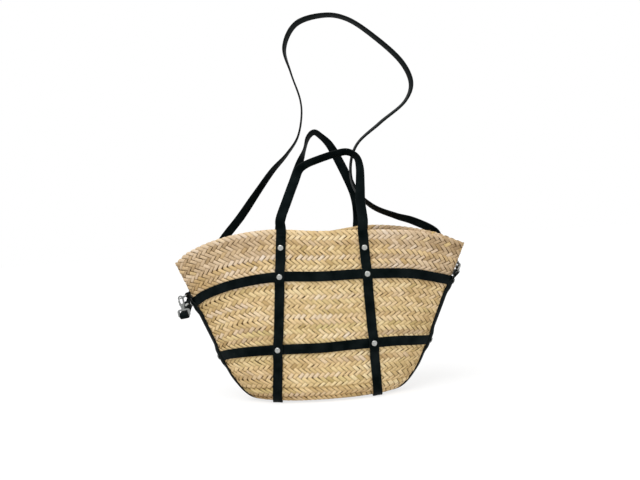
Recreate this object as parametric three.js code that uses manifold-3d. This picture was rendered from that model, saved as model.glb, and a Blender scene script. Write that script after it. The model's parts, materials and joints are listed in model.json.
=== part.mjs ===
// Basket bag: a plaited palm basket held in a harness of black leather straps, with two short
// handles and a long shoulder strap that clips to a ring at each side.
// Millimetres, +Z up, the front at -Y, the floor at z = 0.
import * as THREE from "three";
import { mergeVertices } from "three/addons/utils/BufferGeometryUtils.js";
import Module from "manifold-3d";

const wasm = await Module();
wasm.setup();

// Basket, driving sizes
const RIM_HALF_LENGTH = 254;
const RIM_HALF_DEPTH = 78;
const BODY_HEIGHT = 285;
const WALL = 6;
const FLOOR_THICKNESS = 8;
const BASE_LEAN = -7;
const RIM_LEAN = -2;
const BRAID_HEIGHT = 5.2;
const NOSE_SHARPNESS_BASE = 1;
const NOSE_SHARPNESS_RIM = 1.7;
const NOSE_SHARPENING = 0.45;
const INNER_BASE_STEP = 2.2;
const END_CROWDING = 1.3;
const QUARTER_STEPS = 14;
// Side profile from the base edge to the rim: share of the height, of the half length, of the half depth
const PROFILE = [
  [0, 0.429, 0.66],
  [0.005, 0.469, 0.75],
  [0.022, 0.514, 0.825],
  [0.055, 0.555, 0.865],
  [0.105, 0.597, 0.89],
  [0.19, 0.652, 0.915],
  [0.35, 0.723, 0.95],
  [0.53, 0.8, 0.98],
  [0.74, 0.888, 1.0],
  [1, 1, 1],
];
// Rim line, a little slumped as soft plaiting is: share of the half length, share of the body height
const FRONT_RIM = [
  [-1, 0.866],
  [-0.89, 0.93],
  [-0.64, 1.0],
  [-0.33, 1.027],
  [0, 1.0],
  [0.33, 0.988],
  [0.66, 0.96],
  [0.85, 0.914],
  [1, 0.868],
];
const BACK_RIM = [
  [-1, 0.866],
  [-0.64, 0.964],
  [-0.33, 0.993],
  [0, 0.996],
  [0.4, 1.021],
  [0.79, 0.957],
  [1, 0.868],
];

// Leather harness
const STRAP_WIDTH = 16.5;
const STRAP_THICKNESS = 2.4;
const SEAT_GAP = 0.5;
const LAYER_GAP = 0.4;
const PRESS_GAP = 0.3;
const BUMP_FLAT = 1.5;
const BUMP_RAMP = 13;
const BUMP_RAMP_STOPS = [0.45, 1];
const LEAST_STOP_SHARE = 0.003;
const BASE_LIFT = STRAP_THICKNESS + SEAT_GAP;
const RISER_BASE_X = { left: -90, right: 79 };
const RISER_RIM_X = {
  front: { left: -62.5, right: 71 },
  back: { left: -72, right: 70 },
};
const RISER_OVER_RIM = 3;
// Belts, not quite level: share of the half length, share of the wall's height
const BELT_LINES = {
  upper: [
    [-1, 0.712],
    [-0.33, 0.728],
    [0.3, 0.74],
    [1, 0.742],
  ],
  lower: [
    [-1, 0.318],
    [-0.33, 0.311],
    [0.3, 0.325],
    [1, 0.333],
  ],
};
const BASE_EDGE_EASE = 0.7;
const BASE_EDGE_SHARE = 0.04;
const HINGE_GAP = 1.0;
const HINGE_OUTSET = 1.3;
const KEEL_INSET = 8;
const GROOVE_CLEARANCE = 0.5;
const END_BEND = 0.55;
const BEND_START = [0.02, 0.1];
const BEND_FADE = 0.05;

// Rivets
const RIVET_CAP_RADIUS = 4.9;
const RIVET_CAP_HEIGHT = 1.8;
const RIVET_POST_RADIUS = 1.6;
const RIVET_HOLE_RADIUS = 1.9;
const RIVET_INNER_RADIUS = 4;
const RIVET_INNER_HEIGHT = 1.2;
const RIM_RIVET_SHARE = 0.895;
const RIVET_SIDES = 10;
const RIVET_HOLE_SIDES = 8;
const HOLE_LENGTH = 30;
// Domed cap: share of the radius, share of the height
const CAP_DOME = [
  [1, 0],
  [1, 0.35],
  [0.72, 0.8],
  [0, 1],
];

const STRAP_RIVET_HEIGHT = 1.44;
const STRAP_RIVET_DOME = [
  [1, 0],
  [0.75, 0.75],
  [0, 1],
];

// Handles: share of the way from the left leg to the right, height over the legs, and the turn of
// the strap from face-on to edge-on in degrees
const HANDLE_LEG_START = 9;
const HANDLE_STEPS = 42;
const FRONT_HANDLE_LEAN = 33;
const FRONT_HANDLE = [
  [0.096, 45, 4],
  [0.199, 78, 14],
  [0.27, 98, 34],
  [0.36, 106.5, 48],
  [0.5, 114.5, 50],
  [0.757, 126, 52],
  [0.89, 128.5, 56],
  [0.995, 120, 58],
  [1.025, 103, 44],
  [1.012, 70, 28],
  [0.998, 44, 12],
];
const BACK_HANDLE_LEAN = 36;
const BACK_HANDLE = [
  [0.108, 56, 4],
  [0.22, 90, 10],
  [0.319, 123, 44],
  [0.39, 145, 78],
  [0.45, 166, 68],
  [0.525, 173.5, 62],
  [0.613, 164, 60],
  [0.7, 150, 44],
  [0.788, 126, 24],
  [0.914, 84, 8],
  [0.98, 57, 3],
  [1.006, 34, 0],
];

// Shoulder strap: free route between its two clips, its ends measured in from the basket's ends, and
// how far it is turned edge-on, in degrees
const SHOULDER_WIDTH = 15;
const SHOULDER_THICKNESS = 3;
const SHOULDER_FOLD_LENGTH = 36;
const SHOULDER_STEPS = 82;
const FOLD_TWIST_STEPS = 8;
const FOLD_MEETS = 14;
const STRAP_RIVET_AT = 25;
const FOLD_ARC_STEP = 30;
const SHOULDER_ROUTE = [
  [25 - RIM_HALF_LENGTH, 44, 210, 0],
  [50 - RIM_HALF_LENGTH, 53, 248, 0],
  [84 - RIM_HALF_LENGTH, 54, 290, 0],
  [113 - RIM_HALF_LENGTH, 46, 321, 15],
  [-109, 35, 360, 45],
  [-76, 24, 399, 62],
  [-48, 12, 425, 82],
  [-27, 5, 452, 90],
  [-17, 0, 490, 90],
  [-17.5, 0, 517, 90],
  [-30.5, 0, 565, 86],
  [-39, 0, 610, 73],
  [-16, 0, 650, 72],
  [38, 0, 662, 80],
  [73, 0, 653, 82],
  [115, 0, 622, 78],
  [166.5, 0, 567, 74],
  [178, 0, 531, 73],
  [166, 0, 503, 76],
  [118.5, 0, 467, 73],
  [75, 0, 431, 79],
  [62, 0, 393, 83],
  [67, 8, 357, 80],
  [97, 26, 324, 64],
  [RIM_HALF_LENGTH - 114, 42, 304, 52],
  [RIM_HALF_LENGTH - 82, 54, 293, 30],
  [RIM_HALF_LENGTH - 43, 54, 270, 0],
];

// Rings and swivel clips
const WIRE_RADIUS = 1.4;
const RING_STRAIGHT = 8.4;
const RING_CORNER = 3;
const RING_LENGTH = 14;
const FOLD_CLEARANCE = 0.4;
const RING_RISE = 11;
const RING_TAIL_GAP = 3;
const RING_SIDES = 8;
const RING_ARC_STEP = 15;
const RING_CORNER_TURNS = [0, 30, 60];
const CLAW_THICKNESS = 4;
const CLAW_WALL = 2.2;
const SLOT_HALF_WIDTH = 2.4;
const SLOT_HALF_LENGTH = 6.3;
const WIRE_SEAT = 3.4;
const BACK_SHOULDER = 3;
const GATE_SHOULDER = 4.5;
const GATE_BITE = 0.6;
const GATE_SILL = 2;
const FORK_DROP = 2.2;
const FORK_INSET = 1.9;
const CUT_LENGTH = 6;
const NECK_RADIUS = 3.2;
const NECK_TOP = -10.2;
const NECK_END = -14;
const POST_RADIUS = 1.7;
const POST_LENGTH = 5.6;
const BORE_RADIUS = 2.1;
const BORE_LENGTH = 4.6;
const SWIVEL_GAP = 1.4;
const COLLAR_LENGTH = 2;
const EYE_BAR = 3;
const EYE_HALF_WIDTH = 8.2;
const EYE_HOLE = 7.6;
const EYE_TOP_CHAMFER = 3;
const EYE_LOW_CHAMFER = 2;
const ROUND_SIDES = 12;
const TRIGGER_PIVOT = { x: 3.7, z: -6.3 };
const TRIGGER_TIP = 1.3;
const TRIGGER_HALF_WIDTH = 1.0;
const TRIGGER_HUB_RADIUS = 1.45;
const TRIGGER_THICKNESS = 1.9;
const THUMB_PIECE = { low: -3.2, middle: -1.6, top: 0, reach: 1.4 };
const PIN_RADIUS = 0.7;
const PIN_HOLE_RADIUS = 1.0;
const HUB_HOLE_RADIUS = 0.95;
const PIN_SIDES = 10;

const LEFT_CLIP = {
  ring: new THREE.Vector3(-0.9, 0, -0.436),
  turn: 90,
  axis: new THREE.Vector3(0.15, 0, -0.989),
  run: new THREE.Vector3(0.12, 0.8, 0.59),
};
const RIGHT_CLIP = {
  ring: new THREE.Vector3(0.45, 0, 0.893),
  turn: 35,
  axis: new THREE.Vector3(-0.037, 0.765, 0.642),
  run: new THREE.Vector3(-0.614, 0.325, 0.719),
};

const PALM = new THREE.MeshStandardMaterial({ color: 0xcdb083, roughness: 0.85, metalness: 0 });
const LEATHER = new THREE.MeshStandardMaterial({ color: 0x14191b, roughness: 0.45, metalness: 0 });
const STEEL = new THREE.MeshStandardMaterial({ color: 0xb4b8b4, roughness: 0.3, metalness: 1 });

const bag = new THREE.Group();
bag.name = "basket_bag";

// Value of a column of rows at x, by a smooth curve through the rows
function through(rows, x, column) {
  const last = rows.length - 2;
  let i = 0;
  while (i < last && x > rows[i + 1][0]) i += 1;
  const slope = (k) => {
    const a = rows[Math.max(k - 1, 0)];
    const b = rows[Math.min(k + 1, rows.length - 1)];
    return (b[column] - a[column]) / (b[0] - a[0]);
  };
  const span = rows[i + 1][0] - rows[i][0];
  const u = (x - rows[i][0]) / span;
  const u2 = u * u;
  const u3 = u2 * u;
  return (
    (2 * u3 - 3 * u2 + 1) * rows[i][column] +
    (u3 - 2 * u2 + u) * span * slope(i) +
    (3 * u2 - 2 * u3) * rows[i + 1][column] +
    (u3 - u2) * span * slope(i + 1)
  );
}

// The profile as rows over its own step number, so that the steep base edge is sampled evenly
const PROFILE_STEPS = PROFILE.map((row, step) => [step, ...row]);
const RIM_STEP = PROFILE.length - 1;

// Step of the profile at a share of the height
function stepAt(share) {
  let low = 0;
  let high = RIM_STEP;
  for (let i = 0; i < 40; i += 1) {
    const middle = (low + high) / 2;
    if (through(PROFILE_STEPS, middle, 1) < share) low = middle;
    else high = middle;
  }
  return (low + high) / 2;
}

// Sizes of the basket at a step of its profile
function section(step) {
  const share = through(PROFILE_STEPS, step, 1);
  return {
    share,
    halfLength: through(PROFILE_STEPS, step, 2) * RIM_HALF_LENGTH,
    halfDepth: through(PROFILE_STEPS, step, 3) * RIM_HALF_DEPTH,
    sharpness: THREE.MathUtils.lerp(NOSE_SHARPNESS_BASE, NOSE_SHARPNESS_RIM, share ** NOSE_SHARPENING),
    middle: THREE.MathUtils.lerp(BASE_LEAN, RIM_LEAN, share),
  };
}

function rimHeight(angle) {
  const rows = Math.sin(angle) < 0 ? FRONT_RIM : BACK_RIM;
  return through(rows, Math.cos(angle), 1) * BODY_HEIGHT;
}

function heightAt(share, angle) {
  return BASE_LIFT + share * (rimHeight(angle) - BASE_LIFT);
}

// Point of the basket's outer face: angle 0 is the right end, 90 degrees the middle of the back
function outerPoint(step, angle) {
  const at = section(step);
  const sine = Math.sin(angle);
  const x = at.middle + at.halfLength * Math.cos(angle);
  const y = Math.sign(sine) * at.halfDepth * Math.abs(sine) ** at.sharpness;
  return new THREE.Vector3(x, y, heightAt(at.share, angle));
}

// Outer face as a frame: point, outward normal, direction round the basket and direction up the wall
function outerFrame(step, angle) {
  const nudge = 0.02;
  const low = Math.max(step - nudge, 0);
  const high = Math.min(step + nudge, RIM_STEP);
  const round = outerPoint(step, angle + nudge).sub(outerPoint(step, angle - nudge)).normalize();
  const up = outerPoint(high, angle).sub(outerPoint(low, angle));
  const upLength = up.length() / (high - low);
  up.normalize();
  const normal = new THREE.Vector3().crossVectors(round, up).normalize();
  return { point: outerPoint(step, angle), normal, round, up, upLength };
}

// Inner face: the outer section moved in by the wall, meeting itself before the pointed ends
function innerPoint(step, angle) {
  const at = section(step);
  const inset = Math.asin((WALL / at.halfDepth) ** (1 / at.sharpness));
  const cosine = Math.cos(inset) * Math.cos(angle);
  const depth = at.halfDepth * Math.sqrt(1 - cosine * cosine) ** at.sharpness - WALL;
  const y = Math.sign(Math.sin(angle)) * Math.max(depth, 0);
  return new THREE.Vector3(at.middle + at.halfLength * cosine, y, heightAt(at.share, angle));
}

// Angles round the basket, closer together at the pointed ends
const ANGLES = [];
for (let i = 0; i < 4 * QUARTER_STEPS; i += 1) {
  const quarter = Math.floor(i / QUARTER_STEPS);
  const u = (i % QUARTER_STEPS) / QUARTER_STEPS;
  const fromEnd = quarter % 2 === 0 ? u ** END_CROWDING : 1 - (1 - u) ** END_CROWDING;
  ANGLES.push(((quarter + fromEnd) * Math.PI) / 2);
}

// Solids

function solidFrom(geometry) {
  const bare = geometry.clone();
  bare.deleteAttribute("normal");
  bare.deleteAttribute("uv");
  const merged = mergeVertices(bare, 1e-4);
  return new wasm.Manifold(
    new wasm.Mesh({
      numProp: 3,
      vertProperties: new Float32Array(merged.attributes.position.array),
      triVerts: new Uint32Array(merged.index.array),
    }),
  );
}

function geometryOf(solid) {
  const mesh = solid.getMesh();
  const geometry = new THREE.BufferGeometry();
  geometry.setAttribute("position", new THREE.BufferAttribute(mesh.vertProperties, 3));
  geometry.setIndex(new THREE.BufferAttribute(mesh.triVerts, 1));
  geometry.computeVertexNormals();
  return geometry;
}

function cut(geometry, tools) {
  let solid = solidFrom(geometry);
  for (const tool of tools) solid = solid.subtract(solidFrom(tool));
  return geometryOf(solid);
}

function joined(geometries) {
  let solid = solidFrom(geometries[0]);
  for (const more of geometries.slice(1)) solid = solid.add(solidFrom(more));
  return geometryOf(solid);
}

// Skin of loops of equal count: each loop joins the next, and the ends are closed by fans
// or, for a ring of loops, by joining the last to the first
function loft(loops, ringed = false) {
  const count = loops[0].length;
  const positions = loops.flat().flatMap((p) => [p.x, p.y, p.z]);
  const faces = [];
  const rows = ringed ? loops.length : loops.length - 1;
  for (let r = 0; r < rows; r += 1) {
    const here = r * count;
    const next = ((r + 1) % loops.length) * count;
    for (let i = 0; i < count; i += 1) {
      const j = (i + 1) % count;
      faces.push(here + i, here + j, next + j, here + i, next + j, next + i);
    }
  }
  if (!ringed) {
    for (const [row, flipped] of [[0, true], [loops.length - 1, false]]) {
      const middle = new THREE.Vector3();
      for (const p of loops[row]) middle.addScaledVector(p, 1 / count);
      const hub = positions.length / 3;
      positions.push(middle.x, middle.y, middle.z);
      for (let i = 0; i < count; i += 1) {
        const a = row * count + i;
        const b = row * count + ((i + 1) % count);
        faces.push(...(flipped ? [hub, b, a] : [hub, a, b]));
      }
    }
  }
  const geometry = new THREE.BufferGeometry();
  geometry.setAttribute("position", new THREE.Float32BufferAttribute(positions, 3));
  geometry.setIndex(volumeOf(positions, faces) < 0 ? faces.reverse() : faces);
  geometry.computeVertexNormals();
  return geometry;
}

// Signed volume inside a closed skin, negative if its faces point in
function volumeOf(positions, faces) {
  const corner = (i) => new THREE.Vector3().fromArray(positions, 3 * faces[i]);
  let six = 0;
  for (let i = 0; i < faces.length; i += 3) six += corner(i).cross(corner(i + 1)).dot(corner(i + 2));
  return six / 6;
}

// Strap along a path: each stop has a point and the direction of the strap's width, and where the
// strap is folded along its middle, how far its two edges bend back
function strap(stops, width, thickness) {
  const columns = stops.some((stop) => stop.bend) ? [-1, 0, 1] : [-1, 1];
  const loops = stops.map((stop, i) => {
    const before = stops[Math.max(i - 1, 0)].point;
    const after = stops[Math.min(i + 1, stops.length - 1)].point;
    const along = after.clone().sub(before).normalize();
    const side = stop.side.clone().addScaledVector(along, -stop.side.dot(along)).normalize();
    const face = new THREE.Vector3().crossVectors(along, side);
    const corner = (s, f) =>
      stop.point
        .clone()
        .addScaledVector(side, (s * width) / 2)
        .addScaledVector(face, (f * thickness) / 2 + Math.abs(s) * (stop.bend ?? 0));
    const below = columns.map((s) => corner(s, -1));
    const above = columns.map((s) => corner(s, 1));
    return [...below, ...above.reverse()];
  });
  return loft(loops);
}

// Round bar or bore along a direction
function roundBar(from, direction, length, radius, sides) {
  const bar = new THREE.CylinderGeometry(radius, radius, length, sides);
  const turn = new THREE.Quaternion().setFromUnitVectors(new THREE.Vector3(0, 1, 0), direction);
  bar.applyQuaternion(turn);
  const middle = from.clone().addScaledVector(direction, length / 2);
  bar.translate(middle.x, middle.y, middle.z);
  return bar;
}

function add(name, geometry, material) {
  const mesh = new THREE.Mesh(geometry, material);
  mesh.name = name;
  bag.add(mesh);
  return mesh;
}

// Harness places shared by the straps, their rivets and the basket's holes

const BELTS = Object.keys(BELT_LINES);
const FACES = ["front", "back"];
const SIDES = ["left", "right"];
const END_ANGLES = { left: Math.PI, right: 0 };
const LAYER = STRAP_THICKNESS + LAYER_GAP;

// Angle at which a riser crosses a step of the wall
function riserAngle(face, side, step) {
  const at = section(step);
  const x = THREE.MathUtils.lerp(RISER_BASE_X[side], RISER_RIM_X[face][side], at.share);
  const angle = Math.acos((x - at.middle) / at.halfLength);
  return face === "back" ? angle : 2 * Math.PI - angle;
}

// Share of the wall's height at which a belt runs
function beltShare(place, angle) {
  return through(BELT_LINES[place], Math.cos(angle), 1);
}

// Share at which a belt crosses a riser
function crossingShare(place, face, side) {
  let share = BELT_LINES[place][0][1];
  for (let i = 0; i < 6; i += 1) share = beltShare(place, riserAngle(face, side, stepAt(share)));
  return share;
}

// Lift of a strap that runs over the belts, at a share of the wall's height
function beltLift(share, angle) {
  let lift = 0;
  for (const place of BELTS) {
    const distance = Math.abs(share - beltShare(place, angle)) * rimHeight(angle);
    const beyond = distance - STRAP_WIDTH / 2 - BUMP_FLAT;
    const ramp = THREE.MathUtils.clamp(1 - beyond / BUMP_RAMP, 0, 1);
    lift = Math.max(lift, LAYER * ramp * ramp * (3 - 2 * ramp));
  }
  return lift;
}

// Shares of the wall's height where a strap over belts at given shares has a stop, from the base up
function climbShares(top, belts) {
  const shares = PROFILE.map((row) => row[0]);
  for (let step = 0.5; step < 4; step += 1) shares.push(section(step).share);
  const ramp = [0, ...BUMP_RAMP_STOPS].map((part) => STRAP_WIDTH / 2 + BUMP_FLAT + BUMP_RAMP * part);
  for (const belt of belts) {
    for (const away of [0, ...ramp]) shares.push(belt - away / BODY_HEIGHT, belt + away / BODY_HEIGHT);
  }
  const sorted = shares.filter((share) => share <= top).sort((a, b) => a - b);
  return sorted.filter((share, i) => i === 0 || share - sorted[i - 1] > LEAST_STOP_SHARE);
}

// Stop of a strap on the wall, its middle at a height over the wall's face
function wallStop(step, angle, over) {
  const frame = outerFrame(step, angle);
  return {
    point: frame.point.clone().addScaledVector(frame.normal, over),
    side: frame.round,
    frame,
  };
}

function riserStops(face, side) {
  const belts = BELTS.map((place) => crossingShare(place, face, side));
  const stops = climbShares(1, belts).map((share) => {
    const step = stepAt(share);
    const angle = riserAngle(face, side, step);
    const ease = BASE_EDGE_EASE * (1 - THREE.MathUtils.smoothstep(share, 0, BASE_EDGE_SHARE));
    const over = SEAT_GAP + STRAP_THICKNESS / 2 + beltLift(share, angle) + ease;
    return wallStop(step, angle, over);
  });
  const top = stops[stops.length - 1];
  const end = top.point.clone().addScaledVector(top.frame.up, RISER_OVER_RIM);
  stops.push({ point: end, side: top.side, frame: top.frame });
  return stops;
}

const risers = {};
for (const face of FACES) {
  risers[face] = {};
  for (const side of SIDES) risers[face][side] = riserStops(face, side);
}

// Every rivet: the name, the wall frame it stands on, and the depths of its two heads
const rivets = [];
for (const face of FACES) {
  for (const side of SIDES) {
    const places = { rim: RIM_RIVET_SHARE };
    for (const place of BELTS) places[place] = crossingShare(place, face, side);
    for (const [place, share] of Object.entries(places)) {
      const step = stepAt(share);
      const frame = outerFrame(step, riserAngle(face, side, step));
      const layers = place === "rim" ? 0 : LAYER;
      const grip = SEAT_GAP + layers + STRAP_THICKNESS + PRESS_GAP;
      rivets.push({ name: `rivet_${face}_${side}_${place}`, frame, grip, through: true });
    }
  }
}
for (const side of SIDES) {
  for (const place of BELTS) {
    const angle = END_ANGLES[side];
    const frame = outerFrame(stepAt(beltShare(place, angle)), angle);
    const grip = SEAT_GAP + LAYER + STRAP_THICKNESS + PRESS_GAP;
    rivets.push({ name: `rivet_${side}_end_${place}`, frame, grip, through: false });
  }
}

function rivetHole(rivet, from, length) {
  const start = rivet.frame.point.clone().addScaledVector(rivet.frame.normal, from);
  return roundBar(start, rivet.frame.normal, length, RIVET_HOLE_RADIUS, RIVET_HOLE_SIDES);
}

const rivetHoles = (test) =>
  rivets.filter(test).map((rivet) => rivetHole(rivet, -HOLE_LENGTH / 2, HOLE_LENGTH));

// Outer loops of the basket from the base edge up to a step of its profile
function outerLoops(top) {
  const loops = [];
  for (let step = 0; step <= top; step += 1) loops.push(ANGLES.map((a) => outerPoint(step, a)));
  return loops;
}

// Base: the foot of the basket up to its floor, with a groove underneath that the side strap lies in
const FLOOR_HEIGHT = BASE_LIFT + FLOOR_THICKNESS;
const BASE_TOP_STEP = 4;

function basketBase() {
  const foot = solidFrom(loft(outerLoops(BASE_TOP_STEP))).trimByPlane([0, 0, -1], -FLOOR_HEIGHT);
  const grooveDepth = STRAP_THICKNESS + PRESS_GAP;
  const grooveWidth = STRAP_WIDTH + 2 * GROOVE_CLEARANCE;
  const groove = new THREE.BoxGeometry(4 * RIM_HALF_LENGTH, grooveWidth, 2 * grooveDepth);
  groove.translate(0, 0, BASE_LIFT);
  return cut(geometryOf(foot), [groove]);
}
add("basket_base", basketBase(), PALM);

// Wall: outer skin, rim and inner skin as one run of loops, cut level on top of the base, with the
// holes of its rivets
function basketShell() {
  const lower = (p) => p.setZ(p.z - BRAID_HEIGHT - PRESS_GAP);
  const outer = outerLoops(RIM_STEP);
  outer[RIM_STEP].forEach(lower);
  const inner = [ANGLES.map((a) => lower(innerPoint(RIM_STEP, a)))];
  for (let step = RIM_STEP - 1; step > INNER_BASE_STEP; step -= 1) {
    inner.push(ANGLES.map((a) => innerPoint(step, a)));
  }
  const foot = ANGLES.map((a) => innerPoint(INNER_BASE_STEP, a).setZ(BASE_LIFT + FLOOR_THICKNESS / 2));
  const whole = solidFrom(loft([...outer, ...inner, foot]));
  const wall = whole.trimByPlane([0, 0, 1], FLOOR_HEIGHT + PRESS_GAP);
  return cut(geometryOf(wall), rivetHoles((rivet) => rivet.through));
}
add("basket_shell", basketShell(), PALM);

// Whipped edge that sits along the top of the wall. Its section: share of the way through the wall,
// share of its height
const BRAID_SECTION = [
  [0.1, 0],
  [0, 0.45],
  [0.25, 1],
  [0.75, 1],
  [1, 0.45],
  [0.9, 0],
];

function rimBraid() {
  const loops = ANGLES.map((angle) => {
    const outer = outerPoint(RIM_STEP, angle);
    const inner = innerPoint(RIM_STEP, angle);
    return BRAID_SECTION.map(([across, up]) =>
      outer.clone().lerp(inner, across).setZ(outer.z - BRAID_HEIGHT * (1 - up)),
    );
  });
  return loft(loops, true);
}
add("rim_braid", rimBraid(), PALM);

// Belt: a closed band round the basket along its line
function belt(place) {
  const loops = ANGLES.map((angle) => {
    const step = stepAt(beltShare(place, angle));
    const frame = outerFrame(step, angle);
    const half = STRAP_WIDTH / 2 / frame.upLength;
    const low = outerFrame(step - half, angle);
    const high = outerFrame(step + half, angle);
    const off = (edge, over) => edge.point.clone().addScaledVector(frame.normal, over);
    const outside = SEAT_GAP + STRAP_THICKNESS;
    return [off(low, SEAT_GAP), off(low, outside), off(high, outside), off(high, SEAT_GAP)];
  });
  return cut(loft(loops, true), rivetHoles((rivet) => rivet.name.endsWith(place)));
}
for (const place of BELTS) add(`${place}_belt`, belt(place), LEATHER);

// Cradle strap: up the front, under the base and up the back in one length
function cradle(side) {
  const front = [...risers.front[side]].reverse();
  const back = risers.back[side];
  const under = (stop) => ({
    point: stop.point.clone().setZ(STRAP_THICKNESS / 2),
    side: new THREE.Vector3(1, 0, 0),
  });
  const low = [under(front.pop()), under(back[0])];
  const turned = back.slice(1).map((stop) => ({ point: stop.point, side: stop.side.clone().negate() }));
  const body = solidFrom(strap([...front, ...low, ...turned], STRAP_WIDTH, STRAP_THICKNESS));
  const holes = rivetHoles((rivet) => rivet.through && rivet.name.includes(`_${side}_`));
  return cut(geometryOf(body.trimByPlane([0, 0, 1], 0)), holes);
}
for (const side of SIDES) add(`${side}_cradle_strap`, cradle(side), LEATHER);

// Ring places: the bar of each ring lies in the fold at the top of the side strap
const FOLD_RADIUS = WIRE_RADIUS + FOLD_CLEARANCE + STRAP_THICKNESS / 2;
const ACROSS = new THREE.Vector3(0, 1, 0);

function ringPlace(side) {
  const angle = END_ANGLES[side];
  const share = beltShare("upper", angle) + (STRAP_WIDTH / 2 + RING_RISE) / BODY_HEIGHT;
  const frame = outerFrame(stepAt(share), angle);
  const over = SEAT_GAP + PRESS_GAP + STRAP_THICKNESS / 2 + FOLD_RADIUS;
  return { frame, bar: frame.point.clone().addScaledVector(frame.normal, over) };
}
const rings = { left: ringPlace("left"), right: ringPlace("right") };

// Side strap from one ring down the pointed end, under the base and up to the other ring
function sideStrapHalf(side) {
  const angle = END_ANGLES[side];
  const belts = BELTS.map((place) => beltShare(place, angle));
  const top = beltShare("upper", angle) + (STRAP_WIDTH / 2 + BUMP_FLAT) / BODY_HEIGHT;
  const { frame, bar } = rings[side];
  // The strap bends part of the way that the pointed end falls away under its edges
  const bendAt = (step) => {
    const at = section(step);
    const sine = (STRAP_WIDTH / 2 / at.halfDepth) ** (1 / at.sharpness);
    const drop = at.halfLength * (1 - Math.sqrt(1 - sine * sine));
    const started = THREE.MathUtils.smoothstep(at.share, ...BEND_START);
    const ended = THREE.MathUtils.smoothstep(at.share, top - BEND_FADE, top);
    return END_BEND * drop * started * (1 - ended);
  };
  const climb = climbShares(top, belts).map((share) => {
    const over = SEAT_GAP + STRAP_THICKNESS / 2 + beltLift(share, angle);
    const step = stepAt(share);
    return { point: wallStop(step, angle, over).point, side: ACROSS, bend: bendAt(step) };
  });
  climb.shift();
  const fold = [];
  for (let turn = 0; turn <= 180; turn += FOLD_ARC_STEP) {
    const radians = THREE.MathUtils.degToRad(turn);
    const point = bar
      .clone()
      .addScaledVector(frame.normal, FOLD_RADIUS * Math.cos(radians))
      .addScaledVector(frame.up, FOLD_RADIUS * Math.sin(radians));
    fold.push({ point, side: ACROSS });
  }
  const tailLength = RING_RISE - RING_TAIL_GAP;
  const tail = fold[fold.length - 1].point.clone().addScaledVector(frame.up, -tailLength);
  fold.push({ point: tail, side: ACROSS });
  return [...climb, ...fold];
}

function sideStrap() {
  const right = sideStrapHalf("right");
  const left = sideStrapHalf("left").reverse();
  const keelHeight = BASE_LIFT + STRAP_THICKNESS / 2;
  const flat = (stop, away) => ({
    point: new THREE.Vector3(stop.point.x + away, 0, keelHeight),
    side: ACROSS,
  });
  const keel = [flat(left[left.length - 1], KEEL_INSET), flat(right[0], -KEEL_INSET)];
  const holes = rivetHoles((rivet) => !rivet.through);
  return cut(strap([...left, ...keel, ...right], STRAP_WIDTH, STRAP_THICKNESS), holes);
}
add("side_strap", sideStrap(), LEATHER);

// Rivet: domed cap, post and flat inner head, turned about the wall's normal
function rivetBody(rivet) {
  const foot = rivet.through ? -WALL - PRESS_GAP - RIVET_INNER_HEIGHT : SEAT_GAP;
  const outline = [[0, foot]];
  if (rivet.through) {
    outline.push([RIVET_INNER_RADIUS, foot]);
    outline.push([RIVET_INNER_RADIUS, foot + RIVET_INNER_HEIGHT]);
    outline.push([RIVET_POST_RADIUS, foot + RIVET_INNER_HEIGHT]);
  } else {
    outline.push([RIVET_POST_RADIUS, foot]);
  }
  outline.push([RIVET_POST_RADIUS, rivet.grip]);
  for (const [out, up] of CAP_DOME) {
    outline.push([RIVET_CAP_RADIUS * out, rivet.grip + RIVET_CAP_HEIGHT * up]);
  }
  const points = outline.map(([x, y]) => new THREE.Vector2(x, y));
  const body = new THREE.LatheGeometry(points, RIVET_SIDES);
  return geometryOf(solidFrom(body));
}

for (const rivet of rivets) {
  const mesh = add(rivet.name, rivetBody(rivet), STEEL);
  mesh.position.copy(rivet.frame.point);
  mesh.quaternion.setFromUnitVectors(new THREE.Vector3(0, 1, 0), rivet.frame.normal);
}

// Handles: each strap carries on from its two risers, and folds along the line of their top ends

function hingeLine(face) {
  const outset = STRAP_THICKNESS / 2 + HINGE_OUTSET;
  const ends = SIDES.map((side) => {
    const stops = risers[face][side];
    const top = stops[stops.length - 1];
    return top.point
      .clone()
      .addScaledVector(top.frame.normal, outset)
      .addScaledVector(top.frame.up, HINGE_GAP / 2);
  });
  return { point: ends[0].clone().lerp(ends[1], 0.5), axis: ends[1].clone().sub(ends[0]).normalize() };
}

// Evenly spaced stops along a curve through route points, each row ending with the strap's turn
// from face-on to edge-on, seen along Y
function turnedStops(points, turns, facing, count) {
  const curve = new THREE.CatmullRomCurve3(points, false, "centripetal");
  const turnRows = turns.map((turn, i) => [i, turn]);
  const stops = [];
  for (let i = 0; i <= count; i += 1) {
    const u = curve.getUtoTmapping(i / count);
    const point = curve.getPoint(u);
    const along = curve.getTangent(u);
    const turn = THREE.MathUtils.degToRad(through(turnRows, u * (points.length - 1), 1));
    const inPlane = new THREE.Vector3().crossVectors(facing, along).normalize();
    const outward = facing.clone().addScaledVector(along, -facing.dot(along)).normalize();
    const side = inPlane.multiplyScalar(Math.cos(turn)).addScaledVector(outward, Math.sin(turn));
    stops.push({ point, side });
  }
  return stops;
}

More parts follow.
